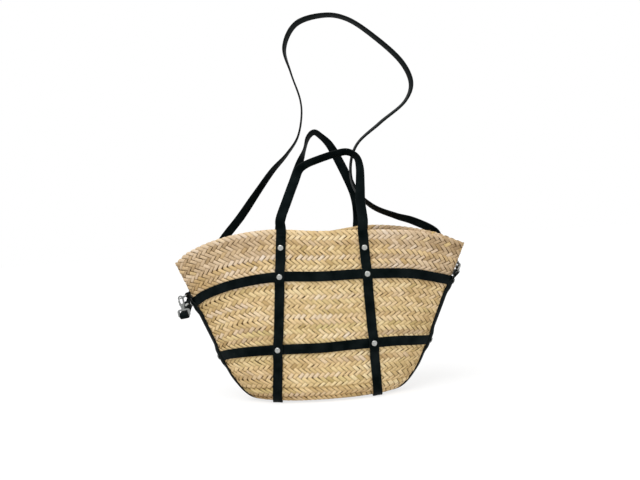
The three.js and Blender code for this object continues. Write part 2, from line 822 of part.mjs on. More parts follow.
function handle(face, rows, lean) {
  const inward = face === "front" ? 1 : -1;
  const tops = SIDES.map((side) => {
    const stops = risers[face][side];
    const top = stops[stops.length - 1];
    return { start: top.point.clone().addScaledVector(top.frame.up, HINGE_GAP), up: top.frame.up };
  });
  const highest = Math.max(...rows.map((row) => row[1]));
  const middle = rows.map(([share, height]) => {
    const foot = tops[0].start.clone().lerp(tops[1].start, share);
    const leaned = inward * lean * (height / highest);
    return foot.add(new THREE.Vector3(0, leaned, height));
  });
  const legs = tops.map(({ start, up }) => [start, start.clone().addScaledVector(up, HANDLE_LEG_START)]);
  const points = [...legs[0], ...middle, ...legs[1].reverse()];
  const turns = [0, 0, ...rows.map((row) => row[2]), 0, 0];
  const facing = new THREE.Vector3(0, -inward, 0);
  return strap(turnedStops(points, turns, facing, HANDLE_STEPS), STRAP_WIDTH, STRAP_THICKNESS);
}
add("front_handle", handle("front", FRONT_HANDLE, FRONT_HANDLE_LEAN), LEATHER);
add("back_handle", handle("back", BACK_HANDLE, BACK_HANDLE_LEAN), LEATHER);

// Ring, swivel clip and strap end at one side, worked out in the clip's own directions

function clipPlace(side, clip) {
  const { bar } = rings[side];
  const out = clip.ring.clone().normalize();
  const turn = THREE.MathUtils.degToRad(clip.turn);
  const halfWidth = RING_STRAIGHT + RING_CORNER;
  const reach = RING_LENGTH - RING_CORNER;
  const wire = bar
    .clone()
    .addScaledVector(out, RING_CORNER + reach * Math.sin(turn))
    .addScaledVector(ACROSS, halfWidth * Math.cos(turn));
  const along = out
    .clone()
    .multiplyScalar(reach * Math.cos(turn))
    .addScaledVector(ACROSS, -halfWidth * Math.sin(turn))
    .normalize();
  const axis = clip.axis.clone().addScaledVector(along, -clip.axis.dot(along)).normalize();
  const eyeDrop = WIRE_SEAT - NECK_END + SWIVEL_GAP + 1.5 * EYE_BAR + EYE_HOLE;
  const eye = wire.clone().addScaledVector(axis, eyeDrop);
  const eyeBar = new THREE.Vector3().crossVectors(axis, clip.run).normalize();
  const run = clip.run.clone().addScaledVector(eyeBar, -clip.run.dot(eyeBar)).normalize();
  return { bar, out, wire, along, axis, eye, eyeBar, run };
}
const clips = { left: clipPlace("left", LEFT_CLIP), right: clipPlace("right", RIGHT_CLIP) };

// Ring: round wire bent to a D, its straight bar in the leather fold
function ringBody(clip) {
  const halfWidth = RING_STRAIGHT + RING_CORNER;
  const reach = RING_LENGTH - RING_CORNER;
  const stops = [];
  const corner = (sign, turn) => {
    const radians = THREE.MathUtils.degToRad(turn);
    return [
      RING_CORNER * (1 - Math.cos(radians)),
      sign * (RING_STRAIGHT + RING_CORNER * Math.sin(radians)),
      -Math.cos(radians),
      sign * Math.sin(radians),
    ];
  };
  for (const turn of RING_CORNER_TURNS) stops.push(corner(1, turn));
  for (let turn = 0; turn <= 180; turn += RING_ARC_STEP) {
    const radians = THREE.MathUtils.degToRad(turn);
    const outX = Math.sin(radians) * halfWidth;
    const outY = Math.cos(radians) * reach;
    const length = Math.hypot(outX, outY);
    stops.push([
      RING_CORNER + reach * Math.sin(radians),
      halfWidth * Math.cos(radians),
      outX / length,
      outY / length,
    ]);
  }
  for (const turn of [...RING_CORNER_TURNS].reverse()) stops.push(corner(-1, turn));
  const level = new THREE.Vector3().crossVectors(clip.out, ACROSS);
  const loops = stops.map(([out, across, faceOut, faceAcross]) => {
    const middle = clip.bar.clone().addScaledVector(clip.out, out).addScaledVector(ACROSS, across);
    const face = clip.out.clone().multiplyScalar(faceOut).addScaledVector(ACROSS, faceAcross);
    const loop = [];
    for (let i = 0; i < RING_SIDES; i += 1) {
      const angle = (2 * Math.PI * (i + 0.5)) / RING_SIDES;
      loop.push(
        middle
          .clone()
          .addScaledVector(face, WIRE_RADIUS * Math.cos(angle))
          .addScaledVector(level, WIRE_RADIUS * Math.sin(angle)),
      );
    }
    return loop;
  });
  return loft(loops, true);
}

// Clip body, wire hole along local Y, neck towards local -Z
function clawBody() {
  const outerHalf = SLOT_HALF_WIDTH + CLAW_WALL;
  const slotArc = SLOT_HALF_LENGTH - SLOT_HALF_WIDTH;
  const outline = new THREE.Shape();
  outline.moveTo(-outerHalf, -slotArc - BACK_SHOULDER);
  outline.lineTo(-NECK_RADIUS, NECK_TOP);
  outline.lineTo(-NECK_RADIUS, NECK_END);
  outline.lineTo(NECK_RADIUS, NECK_END);
  outline.lineTo(NECK_RADIUS, NECK_TOP);
  outline.lineTo(outerHalf, -slotArc - GATE_SHOULDER);
  outline.lineTo(outerHalf, slotArc);
  outline.absarc(0, slotArc, outerHalf, 0, Math.PI, false);
  outline.closePath();
  const slot = new THREE.Path();
  slot.moveTo(SLOT_HALF_WIDTH, slotArc);
  slot.absarc(0, slotArc, SLOT_HALF_WIDTH, 0, Math.PI, false);
  slot.absarc(0, -slotArc, SLOT_HALF_WIDTH, Math.PI, 2 * Math.PI, false);
  slot.closePath();
  outline.holes.push(slot);
  const plate = upright(outline, CLAW_THICKNESS);
  const gateTop = TRIGGER_TIP + PRESS_GAP;
  const gateLow = TRIGGER_PIVOT.z + GATE_SILL;
  const gate = new THREE.BoxGeometry(CUT_LENGTH, 2 * CLAW_THICKNESS, gateTop - gateLow);
  gate.translate(SLOT_HALF_WIDTH - GATE_BITE + CUT_LENGTH / 2, 0, (gateTop + gateLow) / 2);
  const forkLow = TRIGGER_PIVOT.z - FORK_DROP;
  const fork = new THREE.BoxGeometry(CUT_LENGTH, TRIGGER_THICKNESS + 2 * PRESS_GAP, gateTop - forkLow);
  fork.translate(TRIGGER_PIVOT.x - FORK_INSET + CUT_LENGTH / 2, 0, (gateTop + forkLow) / 2);
  const pivot = new THREE.Vector3(TRIGGER_PIVOT.x, -CLAW_THICKNESS, TRIGGER_PIVOT.z);
  const pinHole = roundBar(pivot, ACROSS, 2 * CLAW_THICKNESS, PIN_HOLE_RADIUS, PIN_SIDES);
  const mouth = new THREE.Vector3(0, 0, NECK_END - BORE_LENGTH);
  const bore = roundBar(mouth, new THREE.Vector3(0, 0, 1), 2 * BORE_LENGTH, BORE_RADIUS, ROUND_SIDES);
  return cut(plate, [gate, fork, pinHole, bore]);
}

// Outline in X and Z, given a thickness along Y about the middle
function upright(outline, thickness) {
  const plate = new THREE.ExtrudeGeometry(outline, {
    depth: thickness,
    bevelEnabled: false,
    curveSegments: 8,
  });
  plate.rotateX(Math.PI / 2);
  plate.translate(0, thickness / 2, 0);
  return plate;
}

// Thumb trigger that closes the clip's mouth
function triggerBody() {
  const near = TRIGGER_PIVOT.x - TRIGGER_HALF_WIDTH;
  const far = TRIGGER_PIVOT.x + TRIGGER_HALF_WIDTH;
  const outline = new THREE.Shape();
  outline.moveTo(near, TRIGGER_PIVOT.z);
  const hub = TRIGGER_HUB_RADIUS;
  outline.absarc(TRIGGER_PIVOT.x, TRIGGER_PIVOT.z, hub, Math.PI * 1.1, Math.PI * 1.9, false);
  outline.lineTo(far, THUMB_PIECE.low);
  outline.lineTo(far + THUMB_PIECE.reach, THUMB_PIECE.middle);
  outline.lineTo(far, THUMB_PIECE.top);
  outline.lineTo(far, TRIGGER_TIP);
  outline.lineTo(near, TRIGGER_TIP);
  outline.closePath();
  const hole = new THREE.Path();
  hole.absarc(TRIGGER_PIVOT.x, TRIGGER_PIVOT.z, HUB_HOLE_RADIUS, 0, 2 * Math.PI, true);
  outline.holes.push(hole);
  return upright(outline, TRIGGER_THICKNESS);
}

function pinBody() {
  const from = new THREE.Vector3(TRIGGER_PIVOT.x, -CLAW_THICKNESS / 2, TRIGGER_PIVOT.z);
  return roundBar(from, ACROSS, CLAW_THICKNESS, PIN_RADIUS, PIN_SIDES);
}

// Swivel: a post that turns in the clip's neck, and the eye that the strap folds round
function swivelBody() {
  const top = NECK_END - SWIVEL_GAP;
  const low = top - 2 * EYE_BAR - EYE_HOLE;
  const half = EYE_HALF_WIDTH + EYE_BAR;
  const frame = new THREE.Shape();
  frame.moveTo(-half + EYE_LOW_CHAMFER, low);
  frame.lineTo(half - EYE_LOW_CHAMFER, low);
  frame.lineTo(half, low + EYE_LOW_CHAMFER);
  frame.lineTo(half, top - EYE_TOP_CHAMFER);
  frame.lineTo(half - EYE_TOP_CHAMFER, top);
  frame.lineTo(-half + EYE_TOP_CHAMFER, top);
  frame.lineTo(-half, top - EYE_TOP_CHAMFER);
  frame.lineTo(-half, low + EYE_LOW_CHAMFER);
  frame.closePath();
  const hole = new THREE.Path();
  hole.moveTo(-EYE_HALF_WIDTH, low + EYE_BAR);
  hole.lineTo(-EYE_HALF_WIDTH, top - EYE_BAR);
  hole.lineTo(EYE_HALF_WIDTH, top - EYE_BAR);
  hole.lineTo(EYE_HALF_WIDTH, low + EYE_BAR);
  hole.closePath();
  frame.holes.push(hole);
  const up = new THREE.Vector3(0, 0, 1);
  const foot = new THREE.Vector3(0, 0, top - COLLAR_LENGTH / 2);
  const collar = roundBar(foot, up, COLLAR_LENGTH, NECK_RADIUS, ROUND_SIDES);
  const post = roundBar(foot, up, POST_LENGTH, POST_RADIUS, ROUND_SIDES);
  return joined([upright(frame, EYE_BAR), collar, post]);
}

function placed(mesh, origin, across, axis) {
  const up = axis.clone().negate();
  const out = new THREE.Vector3().crossVectors(across, up);
  mesh.position.copy(origin);
  mesh.quaternion.setFromRotationMatrix(new THREE.Matrix4().makeBasis(out, across, up));
}

for (const side of SIDES) {
  const clip = clips[side];
  const origin = clip.wire.clone().addScaledVector(clip.axis, WIRE_SEAT);
  add(`d_ring_${side}`, ringBody(clip), STEEL);
  placed(add(`clip_body_${side}`, clawBody(), STEEL), origin, clip.along, clip.axis);
  placed(add(`clip_trigger_${side}`, triggerBody(), STEEL), origin, clip.along, clip.axis);
  placed(add(`clip_pin_${side}`, pinBody(), STEEL), origin, clip.along, clip.axis);
  const frameNormal = new THREE.Vector3().crossVectors(clip.axis, clip.eyeBar).normalize();
  placed(add(`clip_swivel_${side}`, swivelBody(), STEEL), origin, frameNormal, clip.axis);
}

// Shoulder strap: a fold round each clip's eye, held by a rivet, and the free length between

const EYE_FOLD_RADIUS = (EYE_BAR / 2) * Math.SQRT2 + FOLD_CLEARANCE + SHOULDER_THICKNESS / 2;
const FOLD_CLOSED = SHOULDER_THICKNESS / 2 + LAYER_GAP / 2;

// Stops from the fold's tail end, round the eye, to the start of the free length
function eyeFold(clip, facing) {
  const face = new THREE.Vector3().crossVectors(clip.eyeBar, clip.run).normalize();
  if (face.dot(facing) < 0) face.negate();
  const at = (along, over) => ({
    point: clip.eye.clone().addScaledVector(clip.run, along).addScaledVector(face, over),
    side: clip.eyeBar,
  });
  const arc = [];
  for (let turn = 0; turn <= 180; turn += FOLD_ARC_STEP) {
    const radians = THREE.MathUtils.degToRad(turn);
    arc.push(at(-EYE_FOLD_RADIUS * Math.sin(radians), EYE_FOLD_RADIUS * Math.cos(radians)));
  }
  const mid = (EYE_FOLD_RADIUS + FOLD_CLOSED) / 2;
  return {
    face,
    stops: [
      at(SHOULDER_FOLD_LENGTH, FOLD_CLOSED),
      at(FOLD_MEETS, FOLD_CLOSED),
      at(FOLD_MEETS / 2, mid),
      ...arc,
      at(FOLD_MEETS / 2, -mid),
      at(FOLD_MEETS, -FOLD_CLOSED),
      at(SHOULDER_FOLD_LENGTH, -FOLD_CLOSED),
    ],
  };
}

function shoulderStrap() {
  const forward = new THREE.Vector3(0, -1, 0);
  const folds = { left: eyeFold(clips.left, forward), right: eyeFold(clips.right, forward) };
  const leftStops = folds.left.stops;
  const rightStops = folds.right.stops;
  const leftEnd = leftStops[leftStops.length - 1];
  const rightEnd = rightStops[rightStops.length - 1];
  const route = SHOULDER_ROUTE.map(([x, y, z]) => new THREE.Vector3(x, y, z));
  const points = [leftEnd.point, ...route, rightEnd.point];
  const turns = [0, ...SHOULDER_ROUTE.map((row) => row[3]), 0];
  const free = turnedStops(points, turns, forward, SHOULDER_STEPS);
  free.forEach((stop, i) => {
    const fromEnd = Math.min(i, free.length - 1 - i);
    const bar = i < free.length / 2 ? clips.left.eyeBar : clips.right.eyeBar;
    const facing = bar.clone().multiplyScalar(Math.sign(bar.dot(stop.side)) || 1);
    const share = THREE.MathUtils.smoothstep(fromEnd, 0, FOLD_TWIST_STEPS);
    stop.side = facing.lerp(stop.side, share).normalize();
  });
  const like = (stops, reference) =>
    stops.map((stop) => ({
      point: stop.point,
      side: stop.side.clone().multiplyScalar(Math.sign(stop.side.dot(reference)) || 1),
    }));
  const start = like(leftStops.slice(0, -1), free[0].side);
  const finish = like(rightStops.slice(0, -1), free[free.length - 1].side).reverse();
  const body = strap([...start, ...free, ...finish], SHOULDER_WIDTH, SHOULDER_THICKNESS);
  const holes = [];
  for (const side of SIDES) {
    const clip = clips[side];
    const { face } = folds[side];
    const middle = clip.eye.clone().addScaledVector(clip.run, STRAP_RIVET_AT);
    const from = middle.clone().addScaledVector(face, -HOLE_LENGTH / 2);
    holes.push(roundBar(from, face, HOLE_LENGTH, RIVET_HOLE_RADIUS, RIVET_HOLE_SIDES));
    const half = SHOULDER_THICKNESS + LAYER_GAP / 2 + PRESS_GAP;
    const rivet = add(`strap_rivet_${side}`, strapRivetBody(half), STEEL);
    rivet.position.copy(middle);
    rivet.quaternion.setFromUnitVectors(new THREE.Vector3(0, 1, 0), face);
  }
  return cut(body, holes);
}

// Rivet with a low domed head on both faces
function strapRivetBody(half) {
  const domed = STRAP_RIVET_DOME.map(([out, up]) => [
    RIVET_INNER_RADIUS * out,
    half + STRAP_RIVET_HEIGHT * up,
  ]);
  const mirrored = [...domed].reverse().map(([out, up]) => [out, -up]);
  const outline = [...mirrored, [RIVET_POST_RADIUS, -half], [RIVET_POST_RADIUS, half], ...domed];
  const points = outline.map(([x, y]) => new THREE.Vector2(x, y));
  return geometryOf(solidFrom(new THREE.LatheGeometry(points, RIVET_SIDES)));
}
add("shoulder_strap", shoulderStrap(), LEATHER);

// Lines that the moving pieces turn about, and the origin under the middle of the whole bag
const hinges = { front_handle: hingeLine("front"), back_handle: hingeLine("back") };
const between = clips.right.wire.clone().sub(clips.left.wire);
hinges.shoulder_strap = {
  point: clips.left.wire.clone().addScaledVector(between, 0.5),
  axis: between.clone().normalize(),
};
for (const side of SIDES) {
  const clip = clips[side];
  const up = clip.axis.clone().negate();
  const out = new THREE.Vector3().crossVectors(clip.along, up);
  const origin = clip.wire.clone().addScaledVector(clip.axis, WIRE_SEAT);
  const pivot = origin.clone().addScaledVector(out, TRIGGER_PIVOT.x).addScaledVector(up, TRIGGER_PIVOT.z);
  hinges[`d_ring_${side}`] = { point: clip.bar, axis: ACROSS };
  hinges[`clip_swivel_${side}`] = { point: origin.clone().addScaledVector(up, NECK_END), axis: clip.axis };
  hinges[`clip_trigger_${side}`] = { point: pivot, axis: clip.along };
}
bag.updateMatrixWorld(true);
const extent = new THREE.Box3().setFromObject(bag, true);
const centre = extent.getCenter(new THREE.Vector3());
bag.position.set(-centre.x, -centre.y, -extent.min.z);
for (const hinge of Object.values(hinges)) hinge.point = hinge.point.clone().add(bag.position);
bag.userData.hinges = hinges;

export default bag;
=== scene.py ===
"""Looks of a plaited palm basket bag: the plait, its leather harness and handles, the long shoulder
strap and the metal fittings. All sizes are metres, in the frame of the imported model."""
import json
import logging
import math
from dataclasses import dataclass, field
from enum import Enum
from typing import Callable, Sequence

import bmesh
import bpy
import numpy as np
from mathutils import Matrix, Vector


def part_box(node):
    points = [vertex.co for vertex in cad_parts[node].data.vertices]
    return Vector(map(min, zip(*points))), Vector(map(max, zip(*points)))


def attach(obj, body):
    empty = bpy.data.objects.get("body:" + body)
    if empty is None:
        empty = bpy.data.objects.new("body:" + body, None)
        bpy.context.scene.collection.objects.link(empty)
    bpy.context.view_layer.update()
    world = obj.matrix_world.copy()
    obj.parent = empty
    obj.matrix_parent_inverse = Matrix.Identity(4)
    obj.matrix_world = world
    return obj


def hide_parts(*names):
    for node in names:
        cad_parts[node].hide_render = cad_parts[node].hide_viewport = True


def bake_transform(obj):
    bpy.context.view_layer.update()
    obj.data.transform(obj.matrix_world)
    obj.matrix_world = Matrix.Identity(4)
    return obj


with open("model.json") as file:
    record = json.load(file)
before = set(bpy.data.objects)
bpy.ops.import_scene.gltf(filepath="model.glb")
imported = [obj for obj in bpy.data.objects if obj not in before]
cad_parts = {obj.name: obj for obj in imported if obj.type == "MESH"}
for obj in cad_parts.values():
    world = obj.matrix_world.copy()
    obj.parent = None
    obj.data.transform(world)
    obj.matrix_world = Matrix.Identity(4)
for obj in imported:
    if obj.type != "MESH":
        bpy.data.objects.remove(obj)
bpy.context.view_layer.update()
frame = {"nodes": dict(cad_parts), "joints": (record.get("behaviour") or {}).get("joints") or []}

MM = 0.001
WELD = 0.01 * MM
SPIN_WELD = 0.001 * MM
TINY = 1e-12
LOG = logging.getLogger("basket_bag")

BLACK = (0.0, 0.0, 0.0)
WHITE = (1.0, 1.0, 1.0)
X_WAY = np.array((1.0, 0.0, 0.0))
Y_WAY = np.array((0.0, 1.0, 0.0))
HALF_TURN = np.linspace(0, math.pi, 13)

Array = np.ndarray
Material = bpy.types.Material
Piece = bpy.types.Object
Socket = bpy.types.NodeSocket


class Face(Enum):
    """The two long faces of the basket."""

    FRONT = "front"
    BACK = "back"

    @property
    def inward(self) -> int:
        """Way along Y that leads from this face into the basket."""
        return 1 if self is Face.FRONT else -1


class Side(Enum):
    """The two pointed ends of the basket."""

    LEFT = "left"
    RIGHT = "right"

    @property
    def angle(self) -> float:
        """Angle of this end round the basket."""
        return math.pi if self is Side.LEFT else 0.0


class Belt(Enum):
    """The two leather belts round the basket."""

    UPPER = "upper"
    LOWER = "lower"


class Skin(Enum):
    """The two faces of the plaited wall."""

    OUTSIDE = "outside"
    INSIDE = "inside"

    @property
    def outward(self) -> int:
        """1 if this face looks out of the basket, -1 if it looks in."""
        return 1 if self is Skin.OUTSIDE else -1


# Curves and small sums


def through(rows: Sequence, x: Array, column: int) -> Array:
    """Reads a smooth curve through the rows of a table.

    Args:
        rows: Table whose first column rises.
        x: Places to read, in the units of the first column.
        column: Column to read.

    Returns:
        The values of that column at x.
    """
    table = np.asarray(rows, float)
    knots, values = table[:, 0], table[:, column]
    order = np.arange(len(table))
    before, after = np.maximum(order - 1, 0), np.minimum(order + 1, len(table) - 1)
    slopes = (values[after] - values[before]) / (knots[after] - knots[before])
    x = np.clip(x, knots[0], knots[-1])
    i = np.searchsorted(knots[1:-1], x, side="left")
    span = knots[i + 1] - knots[i]
    u = (x - knots[i]) / span
    return (
        (2 * u**3 - 3 * u**2 + 1) * values[i]
        + (u**3 - 2 * u**2 + u) * span * slopes[i]
        + (3 * u**2 - 2 * u**3) * values[i + 1]
        + (u**3 - u**2) * span * slopes[i + 1]
    )


def eased(x: Array, low: float, high: float) -> Array:
    """Goes smoothly from 0 at low to 1 at high."""
    u = np.clip((np.asarray(x, float) - low) / (high - low), 0.0, 1.0)
    return u * u * (3 - 2 * u)


def unit(vectors: Array) -> Array:
    """Gives vectors the length 1."""
    vectors = np.asarray(vectors, float)
    return vectors / np.maximum(np.linalg.norm(vectors, axis=-1, keepdims=True), TINY)


def run_length(points: Array) -> Array:
    """Length along a run of points, from 0 at the first."""
    steps = np.linalg.norm(np.diff(points, axis=0), axis=1)
    return np.concatenate(([0.0], np.cumsum(steps)))


def read_along(at: Array, length: Array, table: Array) -> Array:
    """Reads the columns of a table at places along its length."""
    return np.stack([np.interp(at, length, column) for column in table.T], axis=-1)


def even(points: Array, companions: Sequence[Array], pitch: float) -> list[Array]:
    """Spaces a run of points evenly along its length.

    Args:
        points: The run, one row for each point.
        companions: Arrays of values at those points, which are carried along.
        pitch: Wanted distance between neighbours.

    Returns:
        The even points, then each companion at them.
    """
    length = run_length(points)
    count = max(int(round(length[-1] / pitch)), 2)
    at = np.linspace(0.0, length[-1], count + 1)
    return [read_along(at, length, table) for table in (points, *companions)]


def relaxed(points: Array, times: int) -> Array:
    """Rounds the corners of a run of points, with its ends kept.

    Args:
        points: The run.
        times: Rounds of smoothing.

    Returns:
        The smoother run.
    """
    points = points.copy()
    for _ in range(times):
        points[1:-1] = 0.25 * points[:-2] + 0.5 * points[1:-1] + 0.25 * points[2:]
    return points


def loose_curve(points: Array, samples: int) -> tuple[Array, Array]:
    """Draws the centripetal curve through route points.

    Args:
        points: Route points in order.
        samples: Points to draw between each pair.

    Returns:
        The drawn points, and each one's place counted in route points.
    """
    padded = np.vstack((2 * points[0] - points[1], points, 2 * points[-1] - points[-2]))
    gaps = np.sqrt(np.linalg.norm(np.diff(padded, axis=0), axis=1))[:, None]
    drawn, places = [], []
    for i in range(1, len(padded) - 2):
        p0, p1, p2, p3 = padded[i - 1 : i + 3]
        d0, d1, d2 = gaps[i - 1 : i + 2]
        m1 = ((p1 - p0) / d0 - (p2 - p0) / (d0 + d1) + (p2 - p1) / d1) * d1
        m2 = ((p2 - p1) / d1 - (p3 - p1) / (d1 + d2) + (p3 - p2) / d2) * d1
        last = i == len(padded) - 3
        u = np.linspace(0, 1, samples + 1)[: samples + 1 if last else samples, None]
        drawn.append(
            p1 + m1 * u + (3 * (p2 - p1) - 2 * m1 - m2) * u**2 + (2 * (p1 - p2) + m1 + m2) * u**3
        )
        places.append(i - 1 + u[:, 0])
    return np.vstack(drawn), np.concatenate(places)


def joint_line(name: str) -> tuple[Array, Array]:
    """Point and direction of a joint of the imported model."""
    joint = next(j for j in frame["joints"] if j["name"] == name)
    return np.array(joint["pos_m"], float), unit(np.array(joint["axis"], float))


# Form of the basket


@dataclass(frozen=True)
class BasketForm:
    """The soft boat shape of the basket, which the plait and every strap on it follow.

    The profile holds shares of the height, of the half length and of the half depth, from the base
    edge to the rim. The rims hold shares of the half length and of the body height.
    """

    centre_x: float
    centre_y: float
    rim_half_length: float = 254 * MM
    rim_half_depth: float = 78 * MM
    body_height: float = 285 * MM
    wall: float = 6 * MM
    floor: float = 10.9 * MM
    base_lean: float = -7 * MM
    rim_lean: float = -2 * MM
    base_lift: float = 2.9 * MM
    nose_base: float = 1.0
    nose_rim: float = 1.7
    nose_sharpening: float = 0.45
    profile_samples: int = 2001
    ring_samples: int = 1441
    nudge: float = 0.02
    profile: tuple = (
        (0, 0.429, 0.66), (0.005, 0.469, 0.75), (0.022, 0.514, 0.825), (0.055, 0.555, 0.865),
        (0.105, 0.597, 0.89), (0.19, 0.652, 0.915), (0.35, 0.723, 0.95), (0.53, 0.8, 0.98),
        (0.74, 0.888, 1.0), (1, 1, 1),
    )
    front_rim: tuple = (
        (-1, 0.866), (-0.89, 0.93), (-0.64, 1.0), (-0.33, 1.027), (0, 1.0),
        (0.33, 0.988), (0.66, 0.96), (0.85, 0.914), (1, 0.868),
    )
    back_rim: tuple = (
        (-1, 0.866), (-0.64, 0.964), (-0.33, 0.993), (0, 0.996),
        (0.4, 1.021), (0.79, 0.957), (1, 0.868),
    )

    @property
    def rim_step(self) -> int:
        """Number of the last step of the profile."""
        return len(self.profile) - 1

    @property
    def steps(self) -> Array:
        """The profile with its step number as the first column."""
        return np.column_stack((np.arange(len(self.profile)), self.profile))

    def step_at(self, share: Array) -> Array:
        """Step of the profile at a share of the height."""
        fine = np.linspace(0, self.rim_step, self.profile_samples)
        return np.interp(share, through(self.steps, fine, 1), fine)

    def section(self, step: Array) -> tuple[Array, ...]:
        """Measures the level section of the outer face.

        Args:
            step: Steps of the profile.

        Returns:
            Share of the height, half length, half depth, sharpness of the ends, and middle.
        """
        share, long, deep = (through(self.steps, step, column) for column in (1, 2, 3))
        sharper = np.maximum(share, 0) ** self.nose_sharpening
        sharpness = self.nose_base + (self.nose_rim - self.nose_base) * sharper
        middle = self.centre_x + self.base_lean + (self.rim_lean - self.base_lean) * share
        return share, long * self.rim_half_length, deep * self.rim_half_depth, sharpness, middle

    def rim_height(self, angle: Array) -> Array:
        """Height of the slumped rim at an angle round the basket."""
        front, back = (through(rim, np.cos(angle), 1) for rim in (self.front_rim, self.back_rim))
        return np.where(np.sin(angle) < 0, front, back) * self.body_height

    def height(self, share: Array, angle: Array) -> Array:
        """Height of the wall at a share of the way up."""
        return self.base_lift + share * (self.rim_height(angle) - self.base_lift)

    def face(self, skin: Skin, step: Array, angle: Array) -> Array:
        """Draws one face of the wall. Inside, front and back meet before the pointed ends.

        Args:
            skin: Face of the wall.
            step: Steps of the profile.
            angle: Angles round the basket: 0 is the right end, a quarter turn the back's middle.

        Returns:
            Points of the face.
        """
        step, angle = np.broadcast_arrays(np.asarray(step, float), np.asarray(angle, float))
        share, half_length, half_depth, sharpness, middle = self.section(step)
        cosine, sine, wall = np.cos(angle), np.abs(np.sin(angle)), 0.0
        if skin is Skin.INSIDE:
            wall = self.wall
            cosine = np.cos(np.arcsin((wall / half_depth) ** (1 / sharpness))) * cosine
            sine = np.sqrt(1 - cosine**2)
        x = middle + half_length * cosine
        y = np.sign(np.sin(angle)) * np.maximum(half_depth * sine**sharpness - wall, 0)
        return np.stack((x, y + self.centre_y, self.height(share, angle)), axis=-1)

    def outer(self, step: Array, angle: Array) -> Array:
        """Points of the outer face."""
        return self.face(Skin.OUTSIDE, step, angle)

    def inner(self, step: Array, angle: Array) -> Array:
        """Points of the inner face."""
        return self.face(Skin.INSIDE, step, angle)

    def axes(self, step: Array, angle: Array) -> tuple[Array, ...]:
        """Finds directions on the outer face.

        Args:
            step: Steps of the profile.
            angle: Angles round the basket.

        Returns:
            The outward normal, the direction round, the direction up, and the length of one step.
        """
        step, nudge = np.asarray(step, float), self.nudge
        low, high = np.maximum(step - nudge, 0), np.minimum(step + nudge, self.rim_step)
        round_way = unit(self.outer(step, angle + nudge) - self.outer(step, angle - nudge))
        climb = self.outer(high, angle) - self.outer(low, angle)
        step_length = np.linalg.norm(climb, axis=-1) / (high - low)
        up = unit(climb)
        return unit(np.cross(round_way, up)), round_way, up, step_length

    def lifted(self, step: Array, angle: Array, over: Array) -> Array:
        """Points at a height over the outer face."""
        normal = self.axes(step, angle)[0]
        return self.outer(step, angle) + normal * np.asarray(over, float)[..., None]

    def even_angles(
        self, step: float, skin: Skin, end_stretch: float = 0.0
    ) -> tuple[Array, Array, float]:
        """Measures a level ring of the wall, from the middle of the front.

        Args:
            step: Step of the profile.
            skin: Face of the wall.
            end_stretch: How much wider a strip lies at the pointed ends than in the middle.

        Returns:
            Shares of the ring's length, the angle at each, and the length.
        """
        angle = np.linspace(-math.pi / 2, 1.5 * math.pi, self.ring_samples)
        points = self.face(skin, step, angle)
        wide = 1 + end_stretch * np.cos(0.5 * (angle[1:] + angle[:-1])) ** 2
        pieces = np.linalg.norm(np.diff(points, axis=0), axis=1) / wide
        length = np.concatenate(([0.0], np.cumsum(pieces)))
        return length / length[-1], angle, float(length[-1])


# Meshes


@dataclass
class GridSheet:
    """A bmesh grid whose vertices are known by column and row until they are placed."""

    columns: int
    rows: int
    bm: bmesh.types.BMesh = field(init=False)

    def __post_init__(self) -> None:
        """Makes the flat grid."""
        self.bm = bmesh.new()
        bmesh.ops.create_grid(self.bm, x_segments=self.columns, y_segments=self.rows, size=1.0)

    def cells(self) -> Array:
        """Columns of all vertices, then their rows."""
        flat = np.array([v.co[:2] for v in self.bm.verts])
        return np.rint((flat + 1.0) / 2.0 * (self.columns, self.rows)).astype(int).T

    def drop(self, unwanted: Callable[[list[int], bmesh.types.BMFace], bool]) -> None:
        """Deletes unwanted faces.

        Args:
            unwanted: Test of a face, given the numbers of its vertices and the face itself.
        """
        self.bm.verts.index_update()
        lost = [f for f in self.bm.faces if unwanted([v.index for v in f.verts], f)]
        bmesh.ops.delete(self.bm, geom=lost, context="FACES")

    def keep(self, wanted: Callable[[int, int], bool]) -> None:
        """Deletes the faces whose lowest column and row aren't wanted."""
        column, row = self.cells()
        self.drop(lambda at, _: not wanted(int(min(column[at])), int(min(row[at]))))

    def place(self, points: Array, uvs: Array) -> None:
        """Moves every vertex to its point.

        Args:
            points: Point of each vertex.
            uvs: Place of each vertex on its leaf or hide.
        """
        layer = self.bm.loops.layers.uv.new("UVMap")
        self.bm.verts.index_update()
        for vert, point in zip(self.bm.verts, points):
            vert.co = point
        for face in self.bm.faces:
            for loop in face.loops:
                loop[layer].uv = uvs[loop.vert.index]

    def close(self) -> None:
        """Joins edges that meet, fills open ends and points the faces outwards."""
        bmesh.ops.remove_doubles(self.bm, verts=self.bm.verts[:], dist=WELD)
        rims = [e for e in self.bm.edges if e.is_boundary]
        if rims:
            bmesh.ops.holes_fill(self.bm, edges=rims, sides=0)
        bmesh.ops.recalc_face_normals(self.bm, faces=self.bm.faces[:])

    def flip(self) -> None:
        """Turns every face over."""
        bmesh.ops.reverse_faces(self.bm, faces=self.bm.faces[:])

    def mark(self, values: dict[str, Array]) -> None:
        """Writes numbers to every vertex.

        Args:
            values: Number at each vertex, under names that materials can read.
        """
        for name, numbers in values.items():
            layer = self.bm.verts.layers.float.new(name)
            for vert, number in zip(self.bm.verts, numbers):
                vert[layer] = float(number)


def made(bm: bmesh.types.BMesh, name: str, material: Material) -> Piece:
    """Turns a bmesh into a smooth object with its finish.

    Args:
        bm: The mesh, which is used up.
        name: Name of the piece.
        material: Its finish.

    Returns:
        The new object, at the origin.
    """
    mesh = bpy.data.meshes.new(name)
    bm.to_mesh(mesh)
    bm.free()
    mesh.polygons.foreach_set("use_smooth", [True] * len(mesh.polygons))
    mesh.materials.append(material)
    piece = bpy.data.objects.new(name, mesh)
    bpy.context.scene.collection.objects.link(piece)
    return piece


